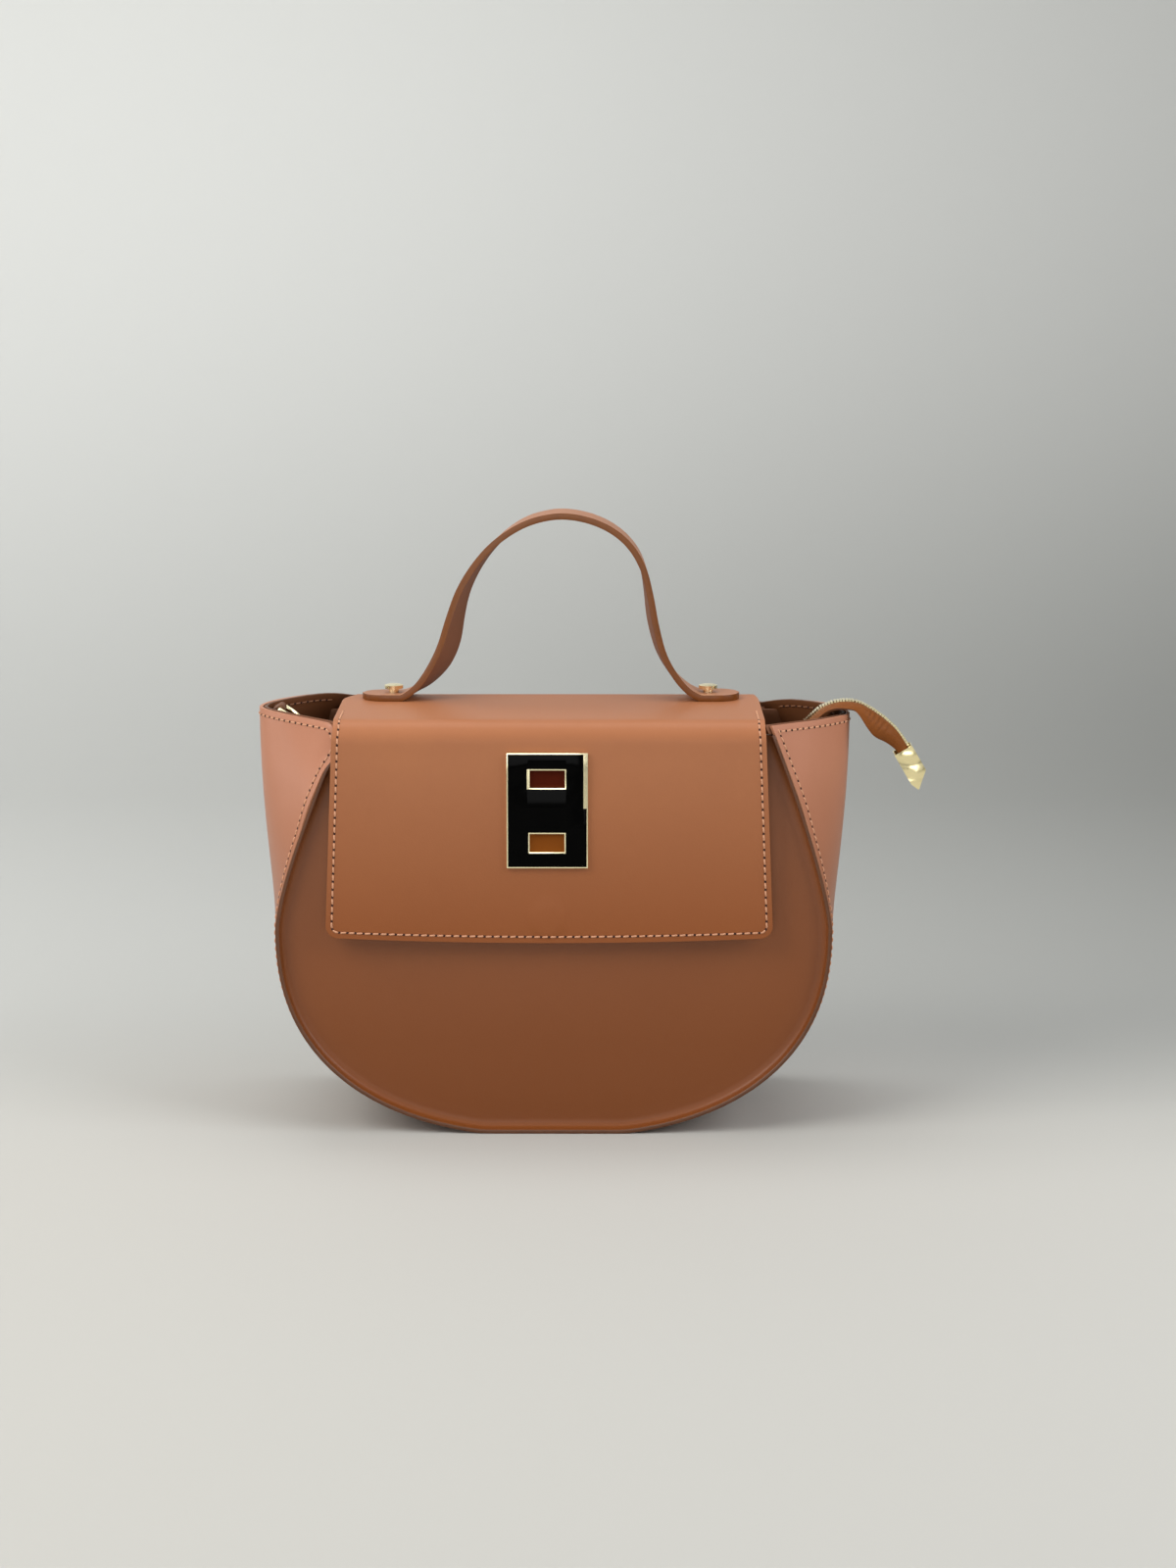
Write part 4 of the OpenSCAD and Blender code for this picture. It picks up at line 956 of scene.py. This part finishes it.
handle_inner_face = leather("handle_inner_calf", "#80543a", "#774b32", roughness=0.65,
                            shine=0.2)
handle = sheet_piece("handle_strap", strap_rows, strap_t,
                     [handle_calf, handle_inner_face, handle_edge], face=(0, 0, 1),
                     round_edge=0.4)
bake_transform(handle)
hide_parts("handle_outer", "handle_inner", "handle_tab_left", "handle_tab_right")
print("handle faces:", len(handle.data.polygons))

# %% [markdown]
# ## Zip closure
#
# Two leather strips fill the mouth under the flap, each with a woven tape and a row of metal
# teeth along its inner edge. The middle 120 mm drops open and the ends stay sewn. Each strip is
# made in a left and a right half, with the teeth at its ends.

# %% One tooth of the zip
sewn_y, strip_edge_y, tape_back_y, tape_edge = 31.41, 8.0, 15.0, 1.35
closure_half, zip_half, tooth_pitch, tooth_half_t = 87.0, 60.0, 2.54, 1.25
tooth_z, tape_z, strip_z = 160.7, 161.0, 162.2
strip_calf = leather("strip_calf", "#8a5634", "#7a4a2c", roughness=0.5)
closed_name = {-1: "front", 1: "back"}


def tooth_mesh(x, side, z):
    """One cast tooth, its jaws closed on the tape and its head reaching past the middle."""
    slot, jaw, legs, head, top = 0.4, tape_edge - 0.08, -4.3, 1.2, tooth_half_t
    shape = [(legs, slot), (-jaw, slot), (-jaw, -slot), (legs, -slot), (legs, -top), (0, -top),
             (head, -0.62), (head, 0.62), (0, top), (legs, top)]
    points = [(x + dx, -side * y if side > 0 else y, z + up)
              for dx in (-0.5, 0.5) for y, up in shape]
    n = len(shape)
    faces = [tuple(range(n)), tuple(range(2 * n - 1, n - 1, -1))]
    faces += [((k + 1) % n, k, n + k, n + (k + 1) % n) for k in range(n)]
    return points, [f if side > 0 else f[::-1] for f in faces]


def gather(pieces):
    """Many small meshes as one."""
    points, faces = [], []
    for more_points, more_faces in pieces:
        faces += [tuple(i + len(points) for i in f) for f in more_faces]
        points += more_points
    return points, faces


print("tooth pitch:", tooth_pitch, "mm")

# %% Make the strips, tapes and end teeth
for side in (-1, 1):
    for end in (-1, 1):
        label = closed_name[side] + ("_left" if end < 0 else "_right")
        xs = np.linspace(0, end * closure_half, 40)
        leather_rows = [[(x, side * y, strip_z) for y in np.linspace(strip_edge_y, sewn_y, 12)]
                        for x in xs]
        tape_rows = [[(x, side * y, tape_z) for y in np.linspace(tape_edge, tape_back_y, 9)]
                     for x in xs]
        strip_side = sheet_piece("zip_strip_" + label, leather_rows, 1.2,
                                 [strip_calf, flesh_side, body_edge], face=(0, 0, 1),
                                 round_edge=0.3)
        tape_side = sheet_piece("zip_tape_" + label, tape_rows, 0.6, [tape_cloth] * 3,
                                face=(0, 0, 1), round_edge=0)
        shift = 0 if side < 0 else tooth_pitch / 2
        places = [i * tooth_pitch + shift for i in range(-40, 41)]
        places = [x for x in places
                  if zip_half + 0.9 <= abs(x) <= closure_half - 0.5 and x * end > 0]
        points, faces = gather([tooth_mesh(x, side, tooth_z) for x in places])
        teeth = mesh_object("zip_end_teeth_" + label, points, faces, [light_gold], 30)
        for piece in (strip_side, tape_side, teeth):
            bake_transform(piece)
        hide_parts("zip_strip_" + closed_name[side], "zip_end_strips")
        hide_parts("zip_tape_" + closed_name[side], "zip_end_tapes")
        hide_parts("zip_end_teeth")
print("zip strips, tapes and end teeth made")

# %% [markdown]
# ## Ramp and tail of the zip
#
# Past the right wing the zip has no bag to close, so its leather strips are folded down beside
# the teeth and the whole hangs as a tail. Each half is one sheet swept along the zip's ridge:
# it climbs out of the mouth, passes over the wing and falls. Soft leather that is folded so
# narrow bellies in the middle and wrinkles across, so a few waves are added along it.

# %% The ridge of the ramp and the tail
ramp_start, ramp_run, ramp_climb = 87.4, 44.9, 23.8
tail_start, tail_top, tail_run, tail_fall, half_w = 132.5, 184.191, 24.8, 22.1, 7.5
# Shares along each run, and at each place how far the half is folded down and how wide it is
ramp_shares = [(0, 0), (0.18, 0.06), (0.36, 0.3), (0.54, 0.63), (0.68, 0.87), (0.8, 0.97),
               (0.91, 1), (1, 0.987)]
ramp_angles = [0, 4, 8, 11, 12, 15, 27, 34]
ramp_widths = [1, 1, 1, 0.96, 0.86, 0.78, 0.74, 0.74]
tail_shares = [(0.13, 0.05), (0.32, 0.166), (0.53, 0.335), (0.72, 0.53), (0.875, 0.762), (1, 1)]
tail_angles = [40, 48, 55, 60, 66, 72]
tail_widths = [0.95, 1.32, 1.5, 1.25, 0.92, 0.72]
ridge = [(ramp_start + a * ramp_run, tooth_z + b * ramp_climb) for a, b in ramp_shares]
ridge += [(tail_start + a * tail_run, tail_top - b * tail_fall) for a, b in tail_shares]
ridge = [(x, z, a, w) for (x, z), a, w in
         zip(ridge, ramp_angles + tail_angles, ramp_widths + tail_widths)]
ridge_line, ridge_places = even_steps(smooth_line(ridge, 6), 0.7)
print("ramp and tail:", round(ridge_places[-1], 1), "mm along the ridge")

# %% Make the ramp and tail halves
def tail_section(i, side):
    """The half's face at one place: from beside the teeth out and down to its free edge."""
    x, z, angle, width = ridge_line[i]
    ahead = ridge_line[min(i + 1, len(ridge_line) - 1)][:2] - ridge_line[max(i - 1, 0)][:2]
    dx, dz = ahead / np.linalg.norm(ahead)
    if i < 3:
        dx, dz = 1.0, 0.0
    w, a0 = half_w * width, math.radians(angle)
    place = ridge_places[i]
    loose = min(1.0, max(0.0, (x - 128) / 8)) * (1 if x < 150 else max(0.2, (158 - x) / 8))
    across, below, row = 2.35, -0.3, []
    steps = 14
    for k in range(steps + 1):
        t = k / steps
        a = a0 * (0.35 + 1.3 * t)
        wave = 0.2 * math.sin(place * 1.7 + 3.0 * t + side) * math.sin(math.pi * min(1, t * 1.2))
        wave += 0.1 * math.sin(place * 3.1 - 5.0 * t + 2 * side) * t
        wrinkled = soft_step(x, 136, 141) * (1 - soft_step(x, 146, 151))
        belly = 0.9 * math.sin(math.pi * t) * loose + wave * wrinkled
        out = side * (across + belly * math.sin(a))
        down = below - belly * math.cos(a)
        row.append((x + dz * down, out, z - dx * down))
        across += w * math.cos(a) / steps
        below += w * math.sin(a) / steps
    return row


for side, name in ((-1, "zip_tail_leather_near"), (1, "zip_tail_leather_far")):
    rows = [tail_section(i, side) for i in range(len(ridge_line))]
    half = sheet_piece(name, rows, 1.1, [tail_calf, flesh_side, body_edge],
                       face=(0, 0.3 * side, 1), round_edge=0.3, smooth_angle=70)
    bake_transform(half)
    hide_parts("zip_ramp_halves", "zip_tail_halves")
    print(name, "faces:", len(half.data.polygons))

# %% [markdown]
# ## Stitches
#
# The seams are saddle-stitched at 3.5 mm with thread 0.8 mm thick. Each stitch rises out of one
# hole and dips into the next, pulling the leather down a little. A curve would make one smooth
# cord, so each stitch is its own short arched tube, with a dark hole between neighbours.

# %% The stitch maker
# Where in a pitch a stitch starts and how much of it it fills; its ends, flatness and slant as
# shares of its radius; and in mm how deep its ends sink, how high it arches, and its hole's size
stitch_start, stitch_share, stitch_ends, stitch_flat, stitch_slant = 0.14, 0.76, 0.62, 0.8, 0.5
stitch_sink, stitch_arch, hole_long, hole_wide, hole_lift = -0.12, 0.34, 0.7, 0.55, 0.07
ring_count, ring_sides, hole_sides = 5, 6, 8


def normalised(v):
    v = np.asarray(v, float)
    return v / np.linalg.norm(v)


def stitch_row(name, line, outs, pitch=3.5, radius=0.4, thread=None):
    """Stitches along a line of points on a face, in mm; outs are the face's directions there."""
    both = np.concatenate([np.asarray(line, float), np.asarray(outs, float)], 1)
    lengths = distances_along(both[:, :3])
    count = max(1, int(round(lengths[-1] / pitch)))
    pitch = lengths[-1] / count

    def at(s):
        return np.array([np.interp(s, lengths, both[:, k]) for k in range(6)])

    points, faces, slots = [], [], []
    for n in range(count):
        first = n * pitch + stitch_start * pitch
        base = len(points)
        for k in range(ring_count):
            t = k / (ring_count - 1)
            place = first + t * stitch_share * pitch
            here = at(place)
            ahead = at(min(lengths[-1], place + 0.2))[:3] - here[:3]
            if np.linalg.norm(ahead) < 1e-6:
                ahead = here[:3] - at(first)[:3]
            out = normalised(here[3:])
            side = normalised(np.cross(out, ahead))
            size = radius * (stitch_ends if k in (0, ring_count - 1) else 1)
            rise_up = stitch_sink + stitch_arch * math.sin(math.pi * t)
            slant = side * radius * stitch_slant * (t - 0.5)
            for j in range(ring_sides):
                a = math.radians(360 / ring_sides * j)
                points.append(here[:3] + slant
                              + out * (rise_up + size * stitch_flat * math.sin(a))
                              + side * size * math.cos(a))
        for k in range(ring_count - 1):
            ring = base + ring_sides * k
            for j in range(ring_sides):
                a, b = ring + j, ring + (j + 1) % ring_sides
                faces.append((a, b, b + ring_sides, a + ring_sides))
        faces += [tuple(base + j for j in reversed(range(ring_sides))),
                  tuple(ring + ring_sides + j for j in range(ring_sides))]
        slots += [0] * (ring_sides * (ring_count - 1) + 2)
        here = at(n * pitch)
        ahead = at(min(lengths[-1], n * pitch + 0.3))[:3] - here[:3]
        out = normalised(here[3:])
        side = normalised(np.cross(out, ahead))
        ahead = normalised(ahead)
        base = len(points)
        for j in range(hole_sides):
            a = math.radians(360 / hole_sides * j)
            points.append(here[:3] + out * hole_lift + ahead * hole_long * math.cos(a)
                          + side * hole_wide * math.sin(a))
        faces.append(tuple(base + j for j in range(hole_sides)))
        slots.append(1)
    obj = mesh_object(name, points, faces, [thread or thread_mat, hole_mat], 60)
    for p, index in zip(obj.data.polygons, slots):
        p.material_index = index
    return obj, count


print("stitch maker ready")

# %% Stitches of the flap
def flap_place(x, d, off=0.0):
    """A place on the flap's front at a distance x across and a drop d below its bend."""
    row = (half_at(d), *front_place(d), max(d, 0.001), flap_centre)
    return flap_point((x - flap_centre) / row[0], row, off)


seam_in, front_out = 2.6, (0, -math.cos(tilt), math.sin(tilt))
seam = [(flap_centre - flap_half + seam_in, y, flap_z) for y in (-14, -20, -26, -32)]
seam_outs = [(0, 0, 1)] * len(seam)
for a in range(98, 180, 10):
    c, s = math.cos(math.radians(a)), math.sin(math.radians(a))
    half = bend_half_at((a - 90) / (90 / bend_steps))
    seam.append((flap_centre - half + seam_in, flap_front_y + front_r + front_r * c,
                 bend_z + front_r * s))
    seam_outs.append((0, c, s))
bend_part = len(seam)
side_line = [(-half_at(d) + seam_in, d) for d in np.linspace(0.5, flap_straight, 30)]
seam_r = corner_r - seam_in
corner = [(-flap_low_flat - seam_r * math.cos(math.radians(a)),
           flap_straight + seam_r * math.sin(math.radians(a))) for a in range(12, 90, 13)]
bottom = [(x, flap_drop - seam_in) for x in np.linspace(-flap_low_flat, 0, 30)]
left_part = side_line + corner + bottom
flat_line = left_part + [(-x, d) for x, d in reversed(left_part[:-1])]
for x, d in flat_line:
    seam.append(flap_place(flap_centre + x, d))
    seam_outs.append(front_out)
for k in reversed(range(bend_part)):
    seam.append((2 * flap_centre - seam[k][0], seam[k][1], seam[k][2]))
    seam_outs.append(seam_outs[k])
flap_seam, count = stitch_row("flap_stitches", seam, seam_outs)
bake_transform(flap_seam)
print("flap stitches:", count)

# %% [markdown]
# ## Plate
#
# The plate is a zinc casting with two windows, plated gold, and its field is filled with black
# enamel that leaves a thin gilt line. Along the upper right edge, and beside the upper window,
# the enamel stops short and the gilt line is wider: a painted highlight, where the bevelled edge
# catches the light. Both layers are cut from a grid of cells: the windows are the cells left
# out. In the windows lies a thin dark sheet, painted shade for the recess, darker in the upper
# window.

# %% Layers of the plate
plate_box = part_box("clasp_frame")
plate_left, plate_right = plate_box[0][0] / MM, plate_box[1][0] / MM
plate_low, plate_high = plate_box[0][2] / MM, plate_box[1][2] / MM
plate_stand = 2.0
# Each window: its left, right, low and high edge
upper_window, lower_window = (-10.1, 5.0, 154.5, 162.1), (-10.2, 4.8, 126.6, 134.5)


def plate_layer(name, xs, zs, empty, off, thickness, material, edge):
    """A flat layer on the flap's front: a grid of cells, but for those with their middle in one
    of the empty places."""
    points = []
    for z in zs:
        y = front_place((bend_z - z) / math.cos(tilt))[0] - off * math.cos(tilt)
        points += [(x, y, z) for x in xs]
    faces = []
    for i in range(len(zs) - 1):
        for j in range(len(xs) - 1):
            x, z = (xs[j] + xs[j + 1]) / 2, (zs[i] + zs[i + 1]) / 2
            if not any(a < x < b and low < z < high for a, b, low, high in empty):
                k = i * len(xs) + j
                faces.append((k, k + 1, k + len(xs) + 1, k + len(xs)))
    layer = mesh_object(name, points, faces, [material], 35)
    solid = layer.modifiers.new("solid", "SOLIDIFY")
    solid.thickness = thickness * MM
    solid.offset = -1
    bevel_edges(layer, edge, segments=3)
    settle(layer, 35)
    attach(layer, "flap_front")
    return layer


def around(window, left, right, below, above):
    """A place this much larger than a window on its four sides."""
    return (window[0] - left, window[1] + right, window[2] - below, window[3] + above)


print("plate mm:", round(plate_right - plate_left, 1), "x", round(plate_high - plate_low, 1))

# %% Make the plate, its enamel and the painted shade in its windows
frame_xs = sorted({plate_left, plate_right, *upper_window[:2], *lower_window[:2]})
frame_zs = sorted({plate_low, plate_high, *upper_window[2:], *lower_window[2:]})
plate_frame = plate_layer("clasp_gilt_frame", frame_xs, frame_zs, [upper_window, lower_window],
                          plate_stand, plate_stand - 0.35, light_gold, 0.2)
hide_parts("clasp_frame")
# Painted highlight: the gilt line is wider along the upper right edge and beside the upper window,
# where the enamel stops short
highlight_z, highlight_x, line_w, highlight_line_w = 145.5, plate_right - 1.9, 0.55, 1.2
upper_field = around(upper_window, highlight_line_w, line_w, line_w, line_w)
lower_field = around(lower_window, line_w, line_w, line_w, line_w)
field_xs = sorted({plate_left + line_w, plate_right - line_w, highlight_x,
                   *upper_field[:2], *lower_field[:2]})
field_zs = sorted({plate_low + line_w, plate_high - line_w, highlight_z,
                   *upper_field[2:], *lower_field[2:]})
highlight_strip = (highlight_x, plate_right, highlight_z, plate_high)
plate_enamel = plate_layer("clasp_black_enamel", field_xs, field_zs,
                           [upper_field, lower_field, highlight_strip], plate_stand + 0.04, 0.3,
                           black_enamel, 0.05)
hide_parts("clasp_enamel")
# Painted shade: a thin dark sheet in each window, darker in the upper one, for the shade in the
# recess
window_shade_lap = 0.4
for name, (left, right, low_z, high_z) in (("plate_window_shade_upper", upper_window),
                                           ("plate_window_shade_lower", lower_window)):
    drops = [(bend_z - z) / math.cos(tilt)
             for z in np.linspace(low_z - window_shade_lap, high_z + window_shade_lap, 5)]
    patch = [[flap_place(x, d, 0.22)
              for x in np.linspace(left - window_shade_lap, right + window_shade_lap, 8)] for d in drops]
    window_shade = sheet_piece(name, patch, 0.15, [window_shade_calf] * 3, face=(0, -1, 0), round_edge=0)
    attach(window_shade, "flap_front")
print("cells of the enamel across and up:", len(field_xs) - 1, len(field_zs) - 1)

# %% [markdown]
# ## Seams of the body
#
# The gusset's two long edges, the wings' rims and the facings are sewn with the same stitch, and
# so is the flap's strip on the back. A seam near an edge keeps its distance along the leather,
# not sideways, so the step in from the edge is shorter where the gusset's face is steep.

# %% Stitches of the gusset
def skin_out(s, v):
    """The outward direction of the gusset's face."""
    step = 0.01
    along_v = skin_point(s, v + step) - skin_point(s, v - step)
    up = np.array([-s[3], 0, s[2]])
    if s[1] > belly_h:
        near = mirrored(station(z=max(belly_h, s[1] - 1)), math.copysign(1, s[0]))
        up = skin_point(near, v) - skin_point(s, v)
    out = np.cross(along_v, up)
    facing_out = -(out[0] * s[2] + out[2] * s[3]) < 0
    return normalised(-out if facing_out else out)


total, low_seam_in, wing_seam_in = 0, 2.5, 3.0
for edge, label in ((-1, "front"), (1, "back")):
    line, outs = [], []
    for s in all_stations(body_h - 1.5):
        step_in = low_seam_in
        if s[1] > belly_h:
            steep = abs(skin_point(s, 1)[0] - skin_point(s, 0.9)[0]) / (0.1 * half_depth(s[1]))
            step_in = wing_seam_in / math.sqrt(1 + steep * steep)
        v = edge * (1 - step_in / half_depth(s[1]))
        line.append(skin_point(s, v))
        outs.append(skin_out(s, v))
    seam_obj, count = stitch_row("gusset_stitches_" + label, line, outs)
    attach(seam_obj, "bag")
    total += count
print("gusset stitches:", total)

# %% Stitches of the wings and the facings
rim_seam_down = 2.9
for end, label in ((-1, "left"), (1, "right")):
    s = mirrored(station(z=body_h - rim_seam_down), end)
    vs = np.linspace(-0.94, 0.94, 61)
    seam_obj, count = stitch_row("wing_rim_stitches_" + label, [skin_point(s, v) for v in vs],
                                 [skin_out(s, v) for v in vs])
    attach(seam_obj, "bag")
    inner_vs = np.linspace(-0.78, 0.78, 51)
    inner, count_in = stitch_row(
        "wing_facing_stitches_" + label,
        [skin_point(s, v, facing_inset) for v in inner_vs],
        [-skin_out(s, v) for v in inner_vs], thread=inner_thread)
    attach(inner, "bag")
    total += count + count_in
for side, label in ((-1, "front"), (1, "back")):
    xs = np.linspace(-87, 87, 61)
    out = (0, -side * math.cos(tilt), math.sin(tilt))
    seam_obj, count = stitch_row(
        "mouth_facing_stitches_" + label,
        [panel_point(x, facing_depth + facing_t, panel_top - 3, side) for x in xs],
        [out] * len(xs), thread=inner_thread)
    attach(seam_obj, "bag")
    total += count
print("with the wings and facings:", total)

# %% Stitches of the back strip
inset_x = neck_half - seam_in
back_line = [(-inset_x, z) for z in (174, 170, 166)] + [(-inset_x, 163.4)]
back_line += [(x, 163.2) for x in np.linspace(-inset_x + 1, inset_x - 1, 40)]
back_line += [(inset_x, z) for z in (163.4, 166, 170, 174)]
seam_obj, count = stitch_row(
    "back_strip_stitches",
    [(x, sewn_strip_y(z), z) for x, z in back_line],
    [(0, math.cos(tilt), math.sin(tilt))] * len(back_line))
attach(seam_obj, "bag")
print("back strip stitches:", count)

# %% [markdown]
# ## Fittings that stay as the CAD made them
#
# Rings, slider, pull, teeth, screws, magnet, washers and cap are metal, cast or turned to the
# drawing, and the base board is cut flat. Their solids are right, so they keep them. All but the
# round rings and the board get a narrow bevel, because a cast edge is never perfectly sharp and
# the bevel is what catches the light.

# %% Finish the fittings
def finish_node(name, material, edge=0.0):
    obj = nodes[name]
    obj.data.materials.clear()
    obj.data.materials.append(material)
    if edge:
        bevel_edges(obj, edge, angle=40)


for name, edge in (("zip_slider", 0.15), ("zip_pull", 0.25),
                   ("handle_screw_left", 0.3), ("handle_screw_right", 0.3),
                   ("zip_teeth_front", 0.12), ("zip_teeth_back", 0.12), ("zip_ramp_teeth", 0.25),
                   ("zip_tail_teeth", 0.25), ("d_ring_left", 0), ("d_ring_right", 0),
                   ("magnet_socket", 0.4), ("flap_magnet", 0.4)):
    finish_node(name, light_gold, edge)
# The end cap is pressed from sheet round the tail, so its sides are a little dented
finish_node("zip_end_cap", pressed_gold, 1.1)
finish_node("clasp_washers", nickel, 0.1)
finish_node("screw_backs", nickel, 0.1)
finish_node("base_board", fibre_board)
print("fittings finished")

# %% [markdown]
# ## Studio
#
# The bag stands on a roll of pale grey paper that curves up behind it without a corner. Light
# and shade on the paper are painted into its colour as slow gradients: painted shade to the
# right and behind the bag, and painted light again at the top, as in the photograph.

# %% Backdrop paper
def backdrop_paper():
    """Grey paper with painted light and shade: pale in front, painted shade behind the bag and to
    the right, painted light again at the top.
    """
    material, tree, place = new_material("grey_backdrop_paper")
    split = add(tree, "ShaderNodeSeparateXYZ", {"Vector": place})
    along = add(tree, "ShaderNodeMath", {0: split.outputs["Y"], 1: split.outputs["Z"]},
                operation="ADD")
    # Painted shade: the paper darkens behind the bag and to the right, and painted light makes it
    # pale again at the top
    behind, upper = [
        add(tree, "ShaderNodeMapRange", {"Value": along.outputs[0], "From Min": a, "From Max": b},
            interpolation_type="SMOOTHSTEP") for a, b in ((-0.13, 0.17), (0.8, 1.9))]
    right = add(tree, "ShaderNodeMapRange",
                {"Value": split.outputs["X"], "From Min": -0.55, "From Max": 0.5})
    wall, high = [
        add(tree, "ShaderNodeMix",
            {"Factor": right.outputs["Result"], "A": linear(a), "B": linear(b)},
            data_type="RGBA") for a, b in (("#cbccc9", "#8f908d"), ("#eeefec", "#cccdca"))]
    back = add(tree, "ShaderNodeMix",
               {"Factor": upper.outputs["Result"], "A": wall.outputs["Result"],
                "B": high.outputs["Result"]}, data_type="RGBA")
    paper_shade = add(tree, "ShaderNodeMix",
               {"Factor": behind.outputs["Result"], "A": linear("#bcbbb6"),
                "B": back.outputs["Result"]}, data_type="RGBA")
    tooth = add(tree, "ShaderNodeTexNoise", {"Vector": place, "Scale": per_metre(2), "Detail": 3})
    bump = add(tree, "ShaderNodeBump",
               {"Height": tooth.outputs["Fac"], "Strength": 0.05, "Distance": 0.0005})
    skin = add(tree, "ShaderNodeBsdfPrincipled",
               {"Base Color": paper_shade.outputs["Result"], "Roughness": 0.9,
                "Normal": bump.outputs["Normal"], "Specular IOR Level": 0.2})
    add(tree, "ShaderNodeOutputMaterial", {"Surface": skin.outputs["BSDF"]})
    return material


# The paper's side view in mm: flat, then round a quarter turn, then straight up
paper_reach, curve_y, curve_r, paper_top = 6000, 700, 600, 2600
profile = [(-paper_reach, 0), (-400, 0), (curve_y, 0)]
profile += [(curve_y + curve_r * math.sin(math.radians(a)),
             curve_r - curve_r * math.cos(math.radians(a))) for a in range(6, 91, 6)]
profile += [(curve_y + curve_r, paper_top)]
sweep_points = [(x, y, z) for y, z in profile for x in (-paper_reach, paper_reach)]
backdrop = mesh_object("grey_backdrop", sweep_points, grid_faces(len(profile), 2, flip=True),
                       [backdrop_paper()], 60)
print("paper's curve mm:", curve_r)

# %% [markdown]
# ## Lamps and the room
#
# One large lamp above and to the left gives the soft shadow to the right. A top lamp lights the
# wings' rims, a weaker lamp fills from the right, and a card in front of the bag opens the
# shade under the flap. A narrow strip at the left draws the light down that wing, and a lamp of
# its own lifts the paper at the upper left. The world adds an even light. What metal and enamel
# mirror is a room, bright overhead and dim low down, so only glossy rays and the camera see it.

# %% Lamps
def lamp(name, place, target, size, watts, tint):
    data = bpy.data.lights.new(name, "AREA")
    data.shape = "RECTANGLE"
    data.size, data.size_y = size
    data.energy = watts
    data.color = linear(tint)[:3]
    obj = bpy.data.objects.new(name, data)
    obj.location = place
    obj.rotation_euler = (Vector(target) - Vector(place)).to_track_quat("-Z", "Y").to_euler()
    bpy.context.scene.collection.objects.link(obj)


lamp("key_softbox", (-0.85, -0.58, 1.00), (0, 0, 0.12), (0.8, 0.8), 12.0, "#fffdf9")
lamp("top_softbox", (0.05, 0.15, 1.25), (0, 0, 0.1), (1.1, 0.7), 4.5, "#ffffff")
lamp("fill_softbox", (1.00, -0.50, 0.80), (0, 0, 0.12), (0.8, 0.8), 8.5, "#fbfcff")
lamp("front_card", (-0.10, -1.50, 0.35), (0, 0, 0.1), (0.7, 0.5), 3, "#ffffff")
lamp("side_strip", (-1.15, 0.15, 0.22), (-0.1, 0, 0.12), (0.25, 0.7), 1.4, "#ffffff")
lamp("paper_lamp", (-0.50, 0.45, 1.70), (-0.3, 1.3, 0.5), (1.2, 0.6), 4.5, "#ffffff")

# %% The world
even_light = 0.37
world = bpy.data.worlds.new("even_studio_light")
bpy.context.scene.world = world
world.use_nodes = True
air = world.node_tree
air.nodes.clear()
path = add(air, "ShaderNodeLightPath")
shown = add(air, "ShaderNodeMath",
            {0: path.outputs["Is Camera Ray"], 1: path.outputs["Is Glossy Ray"]},
            operation="MAXIMUM")
# The room that the metal mirrors: bright overhead and to the left, dim low down and to the right
toward = add(air, "ShaderNodeTexCoord").outputs["Generated"]
height = add(air, "ShaderNodeVectorMath", {0: toward, 1: (-0.5, -0.1, 1.0)},
             operation="DOT_PRODUCT")
room = add(air, "ShaderNodeMapRange",
           {"Value": height.outputs["Value"], "From Min": -0.4, "From Max": 0.8, "To Min": 0.15,
            "To Max": 1.05})
glow = add(air, "ShaderNodeMix",
           {"Factor": shown.outputs[0], "A": even_light, "B": room.outputs["Result"]})
sky = add(air, "ShaderNodeBackground",
          {"Color": linear("#e6e7e6"), "Strength": glow.outputs["Result"]})
add(air, "ShaderNodeOutputWorld", {"Surface": sky.outputs["Background"]})
bpy.context.scene.view_settings.view_transform = "Standard"
print("even light of the world:", even_light)
